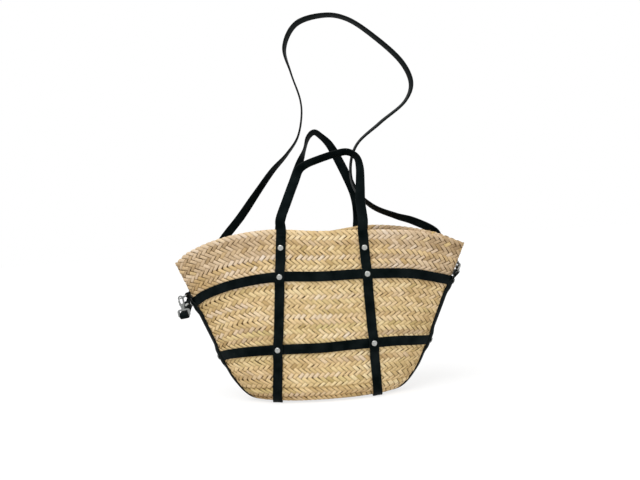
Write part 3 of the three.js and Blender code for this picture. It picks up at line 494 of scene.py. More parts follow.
def spun(outline: Sequence[tuple[float, float]], steps: int, place: Matrix) -> bmesh.types.BMesh:
    """Spins an outline of radius and height about its axis.

    Args:
        outline: Points from the axis round to the axis again.
        steps: Steps of the full turn.
        place: Where the spun body goes, with its axis along Z.

    Returns:
        The closed body.
    """
    origin = (0.0, 0.0, 0.0)
    bm = bmesh.new()
    verts = [bm.verts.new((radius, 0.0, height)) for radius, height in outline]
    geom = verts + [bm.edges.new(pair) for pair in zip(verts, verts[1:])]
    turn = {"cent": origin, "axis": (0.0, 0.0, 1.0), "dvec": origin, "angle": 2 * math.pi}
    bmesh.ops.spin(bm, geom=geom, steps=steps, use_merge=True, **turn)
    bmesh.ops.remove_doubles(bm, verts=bm.verts[:], dist=SPIN_WELD)
    bmesh.ops.recalc_face_normals(bm, faces=bm.faces[:])
    bm.transform(place)
    return bm


def thicken(piece: Piece, thickness: float) -> None:
    """Gives a sheet its thickness on the inner side."""
    shell = piece.modifiers.new("thickness", "SOLIDIFY")
    shell.thickness, shell.offset = thickness, -1.0


def seat(piece: Piece, body: str, slot: str, *nodes: str) -> None:
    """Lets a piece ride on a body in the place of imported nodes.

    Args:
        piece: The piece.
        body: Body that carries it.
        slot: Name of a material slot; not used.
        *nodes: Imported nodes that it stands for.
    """
    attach(piece, body)
    if nodes:
        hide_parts(*nodes)
    LOG.info("%s rides on %s, %d vertices", piece.name, body, len(piece.data.vertices))


# Finishes


class Nodes:
    """Short hand for laying out the nodes of one material or world."""

    MIX_SOCKETS = (0, 6, 7)
    MIX_RESULT = 2

    def __init__(self, owner: bpy.types.ID, output: str = "OutputMaterial") -> None:
        """Starts with the output alone.

        Args:
            owner: Material or world.
            output: Type of its output node.
        """
        owner.use_nodes = True
        self.owner, self.tree = owner, owner.node_tree
        self.tree.nodes.clear()
        self.output = self.add(output)

    def add(self, kind: str, settings: dict | None = None, **inputs: object) -> bpy.types.Node:
        """Adds a node.

        Args:
            kind: Node type without its ShaderNode prefix.
            settings: Properties of the node.
            **inputs: Input sockets by name, with _ for a space: a value, or a socket to link.

        Returns:
            The node.
        """
        node = self.tree.nodes.new("ShaderNode" + kind)
        for key, value in (settings or {}).items():
            setattr(node, key, value)
        for key, value in inputs.items():
            self.put(node.inputs[key.replace("_", " ")], value)
        return node

    def put(self, socket: Socket, value: object) -> None:
        """Links a socket to another, or sets its value.

        Args:
            socket: Input socket.
            value: The other socket, or the value.
        """
        if isinstance(value, Socket):
            self.tree.links.new(value, socket)
        else:
            socket.default_value = value

    def attribute(self, name: str) -> Socket:
        """A number that the mesh holds at each point."""
        return self.add("Attribute", {"attribute_name": name}).outputs["Fac"]

    def place(self) -> Socket:
        """Place of a point in its object."""
        return self.add("TexCoord").outputs["Object"]

    def noise(self, scale: float, detail: float) -> Socket:
        """Noise over the object."""
        return self.add("TexNoise", Vector=self.place(), Scale=scale, Detail=detail).outputs["Fac"]

    def ramp(self, factor: Socket, stops: Sequence[tuple[float, tuple]]) -> Socket:
        """Adds a colour ramp.

        Args:
            factor: Place on the ramp.
            stops: Place and colour of each stop.

        Returns:
            The colour.
        """
        node = self.add("ValToRGB", Fac=factor)
        elements = node.color_ramp.elements
        while len(elements) < len(stops):
            elements.new(0.5)
        for element, (place, colour) in zip(elements, stops):
            element.position = place
            element.color = (*colour, 1.0)
        return node.outputs["Color"]

    def blend(self, kind: str, factor: object, first: object, second: object) -> Socket:
        """Mixes two colours.

        Args:
            kind: Way of mixing.
            factor: Share of the mix.
            first: First colour.
            second: Second colour.

        Returns:
            The mixed colour.
        """
        node = self.add("Mix", {"data_type": "RGBA", "blend_type": kind})
        for number, value in zip(self.MIX_SOCKETS, (factor, first, second)):
            self.put(node.inputs[number], value)
        return node.outputs[self.MIX_RESULT]

    def sum(self, kind: str, first: object, second: object = 0.0) -> Socket:
        """Works out one sum.

        Args:
            kind: Operation.
            first: First number.
            second: Second number, if the operation has one.

        Returns:
            The result.
        """
        node = self.add("Math", {"operation": kind})
        for socket, value in zip(node.inputs, (first, second)):
            self.put(socket, value)
        return node.outputs[0]

    def weigh(self, numbers: Sequence[Socket], shares: Sequence[float]) -> Socket:
        """Adds shares of two numbers."""
        return self.sum("ADD", *(self.sum("MULTIPLY", *part) for part in zip(numbers, shares)))

    def spread(self, value: Socket, low: float, high: float) -> Socket:
        """Maps a number from 0 to 1 onto a range."""
        return self.add("MapRange", Value=value, To_Min=low, To_Max=high).outputs["Result"]

    def bump(self, height: Socket, strength: float, distance: float) -> Socket:
        """Normal of a surface with fine relief."""
        node = self.add("Bump", Strength=strength, Distance=distance, Height=height)
        return node.outputs["Normal"]

    def seen(self) -> Socket:
        """Tells rays that show a thing itself from those that only light other things.

        Returns:
            1 for rays from the camera, in a gloss or through glass.
        """
        path = self.add("LightPath").outputs
        direct = self.sum("MAXIMUM", path["Is Camera Ray"], path["Is Glossy Ray"])
        return self.sum("MAXIMUM", direct, path["Is Transmission Ray"])

    def finish(self, shader: bpy.types.Node) -> bpy.types.ID:
        """Links the shader to the output and hands over the material or world."""
        self.tree.links.new(shader.outputs[0], self.output.inputs["Surface"])
        return self.owner

    def surface(self, colour: Socket, rough: object, normal: Socket, **more: object) -> Material:
        """Ends a material in the usual shader."""
        base = {"Base_Color": colour, "Roughness": rough, "Normal": normal}
        return self.finish(self.add("BsdfPrincipled", **base, **more))


@dataclass(frozen=True)
class PalmFinish:
    """Dry palm leaf strips: straw of many tones, with fine fibres along each strip, and painted
    shade that darkens each strip towards its long edges beside the slits.
    """

    name: str
    tones: tuple = (
        (0.0, (0.36, 0.232, 0.096)),
        (0.3, (0.60, 0.422, 0.20)),
        (0.6, (0.85, 0.645, 0.36)),
        (1.0, (0.98, 0.83, 0.56)),
    )
    hues: tuple = (
        (0.0, (0.86, 0.96, 0.78)),
        (0.3, (0.98, 0.99, 0.92)),
        (0.55, (1.0, 0.97, 0.94)),
        (0.72, (0.92, 0.93, 1.13)),
        (0.9, (0.92, 0.93, 1.13)),
        (1.0, (1.0, 0.98, 0.72)),
    )
    streaks: tuple = ((0.28, (0.74, 0.70, 0.62)), (0.52, WHITE), (0.75, (1.06, 1.06, 1.05)))
    streak_share: float = 0.85
    fibre_scale: tuple = (15.0, 1.3, 1.0)
    fibre_detail: float = 5.0
    patch_noise: tuple = (26.0, 2.0)
    patch_lift: float = 0.35
    speck_noise: tuple = (900.0, 3.0)
    grain_shares: tuple = (0.8, 0.2)
    # Painted shade at each strip's long edges: its colour, where it sets in across the strip, and
    # how strong it gets.
    edge_shade_colour: tuple = (0.26, 0.145, 0.04)
    edge_stops: tuple = ((0.41, BLACK), (0.5, WHITE))
    edge_share: float = 0.7
    roughness: tuple = (0.78, 0.52)
    relief: tuple = (0.45, 0.25 * MM)
    gloss: float = 0.28

    def build(self) -> Material:
        """Makes the material.

        Returns:
            The material, which reads tone, hue and seed of each strip.
        """
        n = Nodes(bpy.data.materials.new(self.name))
        uv = n.add("UVMap").outputs["UV"]
        along = n.add("Mapping", Vector=uv, Scale=self.fibre_scale).outputs["Vector"]
        leaf = {"Vector": along, "W": n.attribute("seed"), "Detail": self.fibre_detail}
        fibre = n.add("TexNoise", {"noise_dimensions": "4D"}, Scale=1.0, **leaf).outputs["Fac"]
        patch = n.sum("SUBTRACT", n.noise(*self.patch_noise), 0.5)
        tone = n.sum("ADD", n.attribute("tone"), n.sum("MULTIPLY", patch, self.patch_lift))
        hue = n.ramp(n.attribute("hue"), self.hues)
        colour = n.blend("MULTIPLY", 1.0, n.ramp(tone, self.tones), hue)
        colour = n.blend("MULTIPLY", self.streak_share, colour, n.ramp(fibre, self.streaks))
        # Painted shade: each strip darkens towards its long edges, where it dips beside the slits.
        across = n.add("SeparateXYZ", Vector=uv).outputs["X"]
        off_middle = n.sum("ABSOLUTE", n.sum("SUBTRACT", across, 0.5))
        wear_and_edge_shade = n.spread(n.ramp(off_middle, self.edge_stops), 0.0, self.edge_share)
        colour = n.blend("MIX", wear_and_edge_shade, colour, (*self.edge_shade_colour, 1.0))
        grain = n.weigh((fibre, n.noise(*self.speck_noise)), self.grain_shares)
        normal = n.bump(grain, *self.relief)
        rough = n.spread(fibre, *self.roughness)
        return n.surface(colour, rough, normal, Specular_IOR_Level=self.gloss)


@dataclass(frozen=True)
class CoreShadeFinish:
    """The inside of the plait, seen in the slits between the strips, coloured near-black brown as
    painted shade.
    """

    name: str
    # Painted shade: near-black browns that stand for the shade inside the slits.
    tones: tuple = ((0.3, (0.06, 0.033, 0.012)), (0.7, (0.19, 0.11, 0.042)))
    mottle_noise: tuple = (240.0, 4.0)
    roughness: float = 0.9
    relief: tuple = (0.6, 0.4 * MM)
    gloss: float = 0.1

    def build(self) -> Material:
        """Makes the material.

        Returns:
            The material.
        """
        n = Nodes(bpy.data.materials.new(self.name))
        mottle = n.noise(*self.mottle_noise)
        look = (n.ramp(mottle, self.tones), self.roughness, n.bump(mottle, *self.relief))
        return n.surface(*look, Specular_IOR_Level=self.gloss)


@dataclass(frozen=True)
class LeatherFinish:
    """Smooth near-black leather with a fine grain and burnished, greyer edges."""

    name: str
    hide: tuple = (0.0003, 0.0022, 0.0024)
    wear_and_edge_shade: tuple = (0.0064, 0.0102, 0.0108)
    edge: tuple = (0.0125, 0.0140, 0.0130)
    roughness: float = 0.46
    smoother: float = 0.07
    rougher: float = 0.12
    pebble_scale: float = 1250.0
    pore_noise: tuple = (620.0, 6.0)
    grain_shares: tuple = (0.6, 0.5)
    cloud_noise: tuple = (42.0, 3.0)
    rub_stops: tuple = ((0.35, BLACK), (0.72, WHITE))
    burnish: tuple = (0.35, 1.0)
    relief: tuple = (0.22, 0.18 * MM)
    gloss: float = 0.026

    def build(self) -> Material:
        """Makes the material.

        Returns:
            The material, which reads how near its cut edge each point lies.
        """
        n = Nodes(bpy.data.materials.new(self.name))
        cells = {"Vector": n.place(), "Scale": self.pebble_scale}
        pebble = n.add("TexVoronoi", {"feature": "SMOOTH_F1"}, **cells).outputs["Distance"]
        pores, cloud = n.noise(*self.pore_noise), n.noise(*self.cloud_noise)
        rubbed = n.ramp(cloud, self.rub_stops)
        colour = n.blend("MIX", rubbed, (*self.hide, 1.0), (*self.wear_and_edge_shade, 1.0))
        burnish = n.sum("MULTIPLY", n.attribute("edge"), n.spread(pores, *self.burnish))
        colour = n.blend("MIX", burnish, colour, (*self.edge, 1.0))
        rough = n.spread(cloud, self.roughness - self.smoother, self.roughness + self.rougher)
        normal = n.bump(n.weigh((pebble, pores), self.grain_shares), *self.relief)
        return n.surface(colour, rough, normal, Specular_IOR_Level=self.gloss)


@dataclass(frozen=True)
class MetalFinish:
    """Bright nickel with faint handling marks."""

    name: str
    tones: tuple = ((0.35, (0.33, 0.34, 0.33)), (0.65, (0.45, 0.46, 0.44)))
    roughness: tuple = (0.16, 0.34)
    haze_noise: tuple = (420.0, 5.0)
    mark_noise: tuple = (2600.0, 2.0)
    relief: tuple = (0.05, 0.05 * MM)

    def build(self) -> Material:
        """Makes the material.

        Returns:
            The material.
        """
        n = Nodes(bpy.data.materials.new(self.name))
        haze = n.noise(*self.haze_noise)
        normal = n.bump(n.noise(*self.mark_noise), *self.relief)
        rough = n.spread(haze, *self.roughness)
        return n.surface(n.ramp(haze, self.tones), rough, normal, Metallic=1.0)


@dataclass(frozen=True)
class FloorFinish:
    """Plain white floor that melts into the background and keeps a pale shadow."""

    name: str = "white_floor"
    grey: tuple = (0.8, 0.8, 0.8)
    glow: float = 1.2
    share: float = 0.62

    def build(self) -> Material:
        """Makes the material.

        Returns:
            The material.
        """
        n = Nodes(bpy.data.materials.new(self.name))
        matte = n.add("BsdfDiffuse", Color=(*self.grey, 1.0))
        glow = n.add("Emission", Color=(*WHITE, 1.0), Strength=self.glow)
        mix = n.add("MixShader", Fac=n.sum("MULTIPLY", n.seen(), self.share))
        for socket, shader in zip(mix.inputs[1:], (matte, glow)):
            n.put(socket, shader.outputs[0])
        return n.finish(mix)


# The plaited basket


@dataclass(frozen=True)
class Spread:
    """How a value varies from strip to strip: in drifts along each row, by strand and by chance."""

    base: float
    chance: float
    low: float
    high: float
    drift: float = 0.0
    knots: int = 0
    strand: float = 0.0

    def within(self, values: Array) -> Array:
        """Keeps values within the lowest and highest."""
        return np.clip(values, self.low, self.high)


@dataclass
class PlaitCore:
    """The core of wall and base that the strips lie on, a closed shell between their faces, dark
    with painted shade.
    """

    form: BasketForm
    groove_depth: float
    depth: float = 1.5 * MM
    share: float = 0.26
    tip_share: float = 0.35
    tip_power: int = 60
    columns: int = 160
    floor_rows: int = 6
    wall_rows: int = 40
    crowding: float = 1.25
    below_rim: float = 0.06

    def build(self) -> None:
        """Lofts the shell up the outside from the base's middle, and down the inside again."""
        form = self.form
        half = self.floor_rows + self.wall_rows
        sheet = GridSheet(self.columns, 2 * half + 1)
        column, row = sheet.cells()
        angle = 2 * math.pi * column / sheet.columns
        outward = row <= half
        count = np.where(outward, row, sheet.rows - row)
        climb = np.clip((count - self.floor_rows) / self.wall_rows, 0, 1) ** self.crowding
        step = climb * (form.rim_step - self.below_rim)
        tip = np.abs(np.cos(angle)) ** self.tip_power
        deep = np.where(outward, self.share + self.tip_share * tip, 1 - self.share)
        outer = form.outer(step, angle)
        edge = outer + (form.inner(step, angle) - outer) * deep[:, None]
        underside = form.base_lift + self.groove_depth + self.depth
        level = np.where(outward, underside, form.floor - self.depth)
        edge[:, 2] = np.maximum(edge[:, 2], level)
        *_, base_middle = form.section(np.array(0.0))
        middle = np.full(len(level), float(base_middle))
        centre = np.column_stack((middle, np.full(len(level), form.centre_y), level))
        points = centre + (edge - centre) * np.clip(count / self.floor_rows, 0, 1)[:, None]
        sheet.place(points, np.column_stack((column / sheet.columns, row / sheet.rows)))
        sheet.close()
        piece = made(sheet.bm, "basket_core", CoreShadeFinish("palm_core_painted_shade").build())
        seat(piece, "basket", "palm_plait", "basket_shell", "basket_base")


@dataclass
class RimWhipping:
    """Slanted strips that are whipped over the edge of the mouth."""

    form: BasketForm
    rng: np.random.Generator
    seeds: float
    thickness: float
    pitch: float = 5.0 * MM
    leg: float = 1.6 * MM
    lean: float = 4.0 * MM
    cover: float = 0.93
    bulge: float = 0.35 * MM
    round_off: float = 0.3 * MM
    across: int = 2
    along: int = 12
    leaf_length: float = 4.0
    tone: Spread = Spread(base=0.44, chance=0.12, low=0.1, high=0.9)
    hue: Spread = Spread(base=0.58, chance=0.25, low=0.15, high=1.0)

    def build(self) -> None:
        """Lays each strip up the outside, over the edge and down the inside."""
        form = self.form
        ring, angles, around = form.even_angles(float(form.rim_step), Skin.OUTSIDE)
        count = int(round(around / self.pitch))
        wide = self.across + 1
        sheet = GridSheet(count * wide, self.along)
        sheet.keep(lambda c, _: c % wide != self.across)
        column, line = sheet.cells()
        strip, t, w = column // wide, (column % wide) / self.across, line / self.along
        half = 0.5 * form.wall
        place = w * (2 * self.leg + math.pi * half)
        spot = (strip + 0.5 + self.cover * (t - 0.5)) * self.pitch - self.lean * (0.5 - w)
        angle = np.interp((spot / around) % 1.0, ring, angles)
        beyond = np.maximum(self.leg - place, place - self.leg - math.pi * half)
        turn = np.clip((place - self.leg) / half, 0, math.pi)
        normal, _, _, step_length = form.axes(np.full(angle.shape, float(form.rim_step)), angle)
        step = form.rim_step - (half + beyond.clip(0)) / step_length
        bulge = self.bulge - self.round_off * (2 * np.abs(t - 0.5)) ** 2
        outside = form.outer(step, angle) + normal * bulge[:, None]
        inside = form.inner(step, angle) - normal * bulge[:, None]
        middle = 0.5 * (outside + inside)
        points = middle + (outside - middle) * np.cos(turn)[:, None]
        points[:, 2] += (half + bulge) * np.sin(turn)
        sheet.place(points, np.column_stack((t, w * self.leaf_length)))
        tint = {}
        for name, spread in (("hue", self.hue), ("tone", self.tone)):
            values = spread.base + spread.chance * self.rng.normal(size=count)
            tint[name] = spread.within(values)[strip]
        tint["seed"] = self.rng.uniform(0, self.seeds, size=count)[strip]
        sheet.mark(tint)
        piece = made(sheet.bm, "rim_whipping", PalmFinish("palm_rim_strips").build())
        thicken(piece, self.thickness)
        seat(piece, "basket", "palm_edge", "rim_braid")


@dataclass
class PlaitedBasket:
    """Palm strips plaited two over two under on the slant, with a core dark with painted shade, a
    base and a whipped rim.
    """

    form: BasketForm
    strip_pitch: float = 9.05 * MM
    end_stretch: float = 0.34
    row_pitch: float = 8.2 * MM
    rows_in_band: int = 6
    slit: float = 0.055
    slit_spread: float = 0.042
    slit_most: float = 0.17
    slit_ends: float = 0.3
    slit_fade: tuple = (0.25, 0.95)
    sway: float = 0.02
    stray: float = 0.018
    tuck: float = 0.24
    crown: float = 0.28 * MM
    crown_power: float = 2.4
    dive: float = 1.75 * MM
    dive_reach: tuple = (0.68, 1.22)
    plateau: float = 0.25 * MM
    tilt: float = 0.10 * MM
    unevenness: float = 0.07 * MM
    strip_thickness: float = 0.5 * MM
    tone: Spread = Spread(0.56, 0.06, 0.05, 0.98, drift=0.10, knots=9, strand=0.08)
    hue: Spread = Spread(0.47, 0.03, 0.0, 1.0, drift=0.12, knots=6, strand=0.04)
    seeds: float = 90.0
    # Painted shade at the pointed ends: its strength and how sharply it gathers there.
    end_shade: float = 0.16
    end_shade_power: int = 4
    base_shade: float = 0.2
    base_shade_rise: float = 0.055
    grey_ends: tuple = (0.1, 0.6)
    grey_rise: tuple = (0.62, 0.85)
    grey_shade: float = 0.03
    grey_hue: float = 0.3
    seam_rows: tuple = (2, 4)
    seam_reach: float = 0.42
    seam_shade: float = 0.2
    seam_pinch: float = 0.7 * MM
    floor_overlap: float = 1.2 * MM
    inner_base_step: float = 2.2
    base_inset: float = 0.5 * MM
    groove_depth: float = 2.8 * MM
    groove_edge: tuple = (8.3 * MM, 9.8 * MM)
    scrap_share: float = 0.8
    least_face: float = 0.4 * MM * MM
    climb_samples: int = 721
    across: int = 3
    along: int = 6
    leaf_length: float = 2.0
    spare_strips: int = 3
    spare_rows: int = 2
    first_seed: int = 7
    rng: np.random.Generator = field(init=False)
    palm: Material = field(init=False)

    def climb(self) -> tuple[Array, Array, float]:
        """Measures the wall up the middle of the front.

        Returns:
            Shares of its length, the step at each, and the length.
        """
        step = np.linspace(0, self.form.rim_step, self.climb_samples)
        length = run_length(self.form.outer(step, -math.pi / 2))
        return length / length[-1], step, float(length[-1])

    def drift(self, rows: int, count: int, knots: int) -> Array:
        """Draws a slow wave along each row of a band, which meets itself after one round.

        Args:
            rows: Rows in the band.
            count: Strips in a row.
            knots: Chance heights in a wave.

        Returns:
            Height of the wave at every strip.
        """
        places = np.arange(count) / count * knots
        waves = []
        for _ in range(rows):
            heights = self.rng.normal(size=knots)
            waves.append(np.interp(places, np.arange(knots + 1), np.append(heights, heights[0])))
        return np.stack(waves)

    def tint(self, at: dict[str, Array], rows: int, count: int) -> dict[str, Array]:
        """Gives every strip of a band its tone, hue and seed.

        Args:
            at: Row and strip of every vertex.
            rows: Rows in the band.
            count: Strips in a row.

        Returns:
            Values at every vertex, by attribute name.
        """
        strands = self.rng.normal(size=(2, count))
        row, strip = np.meshgrid(np.arange(rows), np.arange(count), indexing="ij")
        rising = row % 2 == 0
        strand = np.where(rising, strip - row, strip + row) % count
        own = strands[np.where(rising, 0, 1), strand]
        tables = {}
        for name, spread in (("tone", self.tone), ("hue", self.hue)):
            values = spread.base + spread.drift * self.drift(rows, count, spread.knots)
            values = values + spread.strand * own
            values = values + spread.chance * self.rng.normal(size=(rows, count))
            tables[name] = spread.within(values)
        tables["seed"] = self.rng.uniform(0, self.seeds, size=(rows, count))
        return {name: table[at["row"], at["strip"]] for name, table in tables.items()}

    def strips(self, rows: int, count: int) -> tuple[GridSheet, dict[str, Array]]:
        """Cuts a grid into separate strips.

        Args:
            rows: Rows of strips.
            count: Strips in a row.

        Returns:
            The cut grid, and for every vertex its row, strip, place across and place along.
        """
        wide, long = self.across + 1, self.along + 1
        sheet = GridSheet(count * wide, rows * long)
        sheet.keep(lambda c, r: c % wide != self.across and r % long != self.along)
        column, line = sheet.cells()
        return sheet, {
            "strip": column // wide,
            "row": line // long,
            "t": (column % wide) / self.across,
            "s": (line % long) / self.along,
        }

    def lie(self, at: dict[str, Array], rows: int, count: int) -> tuple[Array, Array, Array]:
        """Lays strips in the slanted two-over-two plait.

        Args:
            at: Row, strip and places of every vertex.
            rows: Rows of strips.
            count: Strips in a row.

        Returns:
            Place round in strips, place up in rows, and height over the wall.
        """

        def vary(size: float) -> Array:
            """Draws a chance value for each strip."""
            return self.rng.normal(size=(rows, count))[at["row"], at["strip"]] * size

        s = at["s"] * (2 + 2 * self.tuck) - self.tuck
        from_middle = np.abs(s - 1)
        open_part = 1 - (1 - self.slit_ends) * eased(from_middle, *self.slit_fade)
        slit = np.clip(self.slit + vary(self.slit_spread), 0.0, self.slit_most) * open_part
        t = slit + at["t"] * (1 - 2 * slit) + vary(self.sway)
        rising = at["row"] % 2 == 0
        shift = 0.5 * ((s - 1) + (t - 0.5))
        climb = 0.5 * ((s - 1) - (t - 0.5)) * np.where(rising, 1, -1)
        round_place = at["strip"] + np.where(rising, 0.25, 0.75) + shift + vary(self.stray)
        up_place = at["row"] + 0.5 + climb + vary(self.stray)
        fall = self.dive * eased(from_middle, *self.dive_reach)
        round_off = self.crown * (2 * np.abs(at["t"] - 0.5)) ** self.crown_power
        tilt = vary(self.tilt) * (at["t"] - 0.5)
        over = self.plateau - fall - round_off + tilt + vary(self.unevenness)
        return round_place, up_place, over

    def seam(self, up_place: Array) -> Array:
        """Rises to 1 on the lines where the lowest rows are sewn together."""
        away = np.min([np.abs(up_place - row) for row in self.seam_rows], axis=0)
        return 1 - eased(away, 0, self.seam_reach)

    def paint_shade_and_grey(self, tint: dict[str, Array], share: Array, angle: Array, seam: Array) -> None:
        """Paints shade into the tone at the pointed ends, where the wall turns from the light;
        darkens it towards the base's edge and along its seams, and greys the ends below the rim.

        Args:
            tint: Tone and hue of every vertex, which are changed.
            share: Share of the wall's height.
            angle: Angle round the basket.
            seam: 1 on a seam.
        """
        ends = np.abs(np.cos(angle))
        grey = eased(ends, *self.grey_ends) * eased(share, *self.grey_rise)
        low = 1 - eased(share, 0, self.base_shade_rise)
        # Painted shade: the pointed ends darken as the wall turns away from the light.
        shade = self.end_shade * ends**self.end_shade_power + self.grey_shade * grey
        shade += self.base_shade * low + self.seam_shade * seam
        tint["tone"] = self.tone.within(tint["tone"] - shade)
        tint["hue"] = self.hue.within(tint["hue"] + self.grey_hue * grey)

    def laid(self, sheet: GridSheet, name: str, flipped: bool) -> None:
        """Turns placed strips into a piece of the basket.

        Args:
            sheet: The strips.
            name: Name of the piece.
            flipped: Whether to turn them over.
        """
        if flipped:
            sheet.flip()
        piece = made(sheet.bm, name, self.palm)
        thicken(piece, self.strip_thickness)
        seat(piece, "basket", "palm_plait")

    def wall(self, skin: Skin) -> None:
        """Plaits one face of the wall in bands, from the base up.

        Args:
            skin: Face of the wall.
        """
        form = self.form
        shares, steps, length = self.climb()
        total = int(round(length / self.row_pitch))
        for band, first in enumerate(range(0, total, self.rows_in_band), 1):
            rows = min(self.rows_in_band, total - first)
            middle = np.interp((first + rows / 2) / total, shares, steps)
            ring, angles, around = form.even_angles(middle, skin, self.end_stretch)
            count = 2 * int(round(around / self.strip_pitch / 2))
            sheet, at = self.strips(rows, count)
            round_place, up_place, over = self.lie(at, rows, count)
            seam = self.seam(first + up_place)
            over -= self.seam_pinch * seam
            angle = np.interp((round_place / count) % 1.0, ring, angles)
            step = np.interp((first + up_place) / total, shares, steps)
            normal = form.axes(step, angle)[0]
            points = form.face(skin, step, angle) + skin.outward * normal * over[:, None]
            if skin is Skin.INSIDE:
                points[:, 2] = np.maximum(points[:, 2], form.floor - self.floor_overlap)
            tint = self.tint(at, rows, count)
            self.paint_shade_and_grey(tint, form.section(step)[0], angle, seam)
            sheet.place(points, np.column_stack((at["t"], at["s"] * self.leaf_length)))
            sheet.mark(tint)
            self.laid(sheet, f"palm_{skin.value}_band_{band}", skin is Skin.INSIDE)

    def flat(self, skin: Skin) -> None:
        """Plaits the flat base and cuts it to its outline.

        Args:
            skin: Seen from below or from inside.
        """
        form = self.form
        below = skin is Skin.OUTSIDE
        step = np.array(0.0 if below else self.inner_base_step)
        _, half_length, half_depth, sharpness, middle = form.section(step)
        count = int(2 * half_length / self.strip_pitch) + self.spare_strips
        rows = 2 * int(half_depth / self.row_pitch) + self.spare_rows
        sheet, at = self.strips(rows, count)
        round_place, up_place, over = self.lie(at, rows, count)
        x = (round_place - count / 2) * self.strip_pitch
        y = (up_place - rows / 2) * self.row_pitch
        inset = self.base_inset if below else form.wall
        edge = half_depth * (1 - np.clip(np.abs(x) / half_length, 0, 1) ** 2) ** (sharpness / 2)
        limit = np.maximum(edge - inset, 0)
        past = (np.abs(y) > limit) | (np.abs(x) > half_length - inset)
        strand = at["row"] * count + at["strip"]
        past |= (np.bincount(strand, past) > self.scrap_share * np.bincount(strand))[strand]
        y = np.clip(y, -limit, limit)
        x = np.clip(x, inset - half_length, half_length - inset)
        groove = self.groove_depth * (1 - eased(np.abs(y), *self.groove_edge))
        z = form.base_lift - over + groove if below else form.floor + over
        points = np.column_stack((x + middle, y + form.centre_y, z))
        sheet.place(points, np.column_stack((at["t"], at["s"] * self.leaf_length)))
        sheet.mark(self.tint(at, rows, count))
        sheet.drop(lambda verts, f: f.calc_area() < self.least_face or past[verts].all())
        self.laid(sheet, f"palm_{skin.value}_base", below)

    def build(self) -> None:
        """Makes the whole basket."""
        self.rng = np.random.default_rng(self.first_seed)
        self.palm = PalmFinish("palm_strips").build()
        PlaitCore(self.form, self.groove_depth).build()
        for skin in Skin:
            self.wall(skin)
            self.flat(skin)
        RimWhipping(self.form, self.rng, self.seeds, self.strip_thickness).build()


# Leather


@dataclass(frozen=True)
class StrapSection:
    """Section of a flat leather strap with rounded, burnished edges."""

    width: float
    thickness: float
    radius: float = 0.75 * MM
    crown: float = 0.12 * MM
    corner_stops: int = 4
    flat_stops: int = 7
    face_burnish: float = 0.1

    def outline(self) -> tuple[Array, Array, Array]:
        """Draws the front half of the section, then its back half as the same turned round.

        Returns:
            Places across, places through, and nearness to a cut edge, up to 1.
        """
        half, deep = self.width / 2 - self.radius, self.thickness / 2 - self.radius
        turn = np.linspace(0, math.pi / 2, self.corner_stops)
        sine, cosine = self.radius * np.sin(turn), self.radius * np.cos(turn)
        flat = np.linspace(1, -1, self.flat_stops)[1:-1]
        face = self.thickness / 2 + self.crown * (1 - flat**2)
        across = np.concatenate((half + cosine, flat * half, -half - sine))
        depth = np.concatenate((deep + sine, face, deep + cosine))
        burnish = 1 - (1 - self.face_burnish) * np.sin(turn)
        edge = np.concatenate((burnish, np.zeros(len(flat)), burnish[::-1]))
        return np.append(across, -across), np.append(depth, -depth), np.tile(edge, 2)


@dataclass(frozen=True)
class WireSection:
    """Section of round wire."""

    radius: float
    sides: int = 14

    def outline(self) -> tuple[Array, Array, Array]:
        """Places across and through the wire, with no cut edges."""
        turn = np.arange(self.sides) * 2 * math.pi / self.sides
        return self.radius * np.cos(turn), self.radius * np.sin(turn), np.zeros(self.sides)


@dataclass
class StrapRun:
    """A strap's path: the middle of its thickness, the direction of its width, and how far its two
    edges bend to the back."""

    CURL_POWER = 1.35
    HIDE_LENGTH = 100 * MM

    points: Array
    sides: Array
    curls: Array | float = 0.0

    def smoothed(self, pitch: float, times: int) -> "StrapRun":
        """Spaces the path evenly and rounds its corners.

        Args:
            pitch: Wanted distance between points.
            times: Rounds of smoothing.

        Returns:
            The smoother path.
        """
        curls = np.broadcast_to(self.curls, len(self.points))
        tables = even(self.points, (self.sides, curls[:, None]), pitch)
        points, sides, curls = (relaxed(table, times) for table in tables)
        return StrapRun(points, unit(sides), curls[:, 0])

    def mesh(self, section: StrapSection | WireSection, ringed: bool = False) -> GridSheet:
        """Sweeps a section along the path.

        Args:
            section: Section of the strap or wire.
            ringed: Whether the last point meets the first.

        Returns:
            The closed strap.
        """
        across, depth, edge = section.outline()
        if ringed:
            loop = self.points[:-1]
            along = unit(np.roll(loop, -1, axis=0) - np.roll(loop, 1, axis=0))
            along = np.vstack((along, along[:1]))
        else:
            along = unit(np.gradient(self.points, axis=0))
        side = unit(self.sides - along * np.sum(self.sides * along, axis=1, keepdims=True))
        out = np.cross(along, side)
        sheet = GridSheet(len(self.points) - 1, len(across))
        stop, corner = sheet.cells()
        spot = corner % len(across)
        bend = (np.abs(across[spot]) / across.max()) ** self.CURL_POWER
        deep = depth[spot] + np.broadcast_to(self.curls, len(self.points))[stop] * bend
        points = self.points[stop] + side[stop] * across[spot, None] + out[stop] * deep[:, None]
        length = run_length(self.points)[stop] / self.HIDE_LENGTH
        sheet.place(points, np.column_stack((length, corner / len(across))))
        sheet.mark({"edge": edge[spot]})
        sheet.close()
        return sheet


def turned_run(points: Array, turns: Array, facing: Array, samples: int = 16) -> StrapRun:
    """Draws a strap through route points, turned between face-on and edge-on.

    Args:
        points: Route points.
        turns: Degrees from face-on at each route point.
        facing: Direction that a face-on strap faces.
        samples: Points to draw between each pair.

    Returns:
        The strap's path.
    """
    drawn, places = loose_curve(points, samples)
    along = unit(np.gradient(drawn, axis=0))
    rows = np.column_stack((np.arange(len(turns)), turns))
    turn = np.radians(through(rows, places, 1))[:, None]
    in_plane = unit(np.cross(facing, along))
    outward = unit(facing - along * (along @ facing)[:, None])
    return StrapRun(drawn, in_plane * np.cos(turn) + outward * np.sin(turn))


def lookup(rows: dict) -> dict:
    """A field that holds a table."""
    return field(default_factory=lambda: rows)


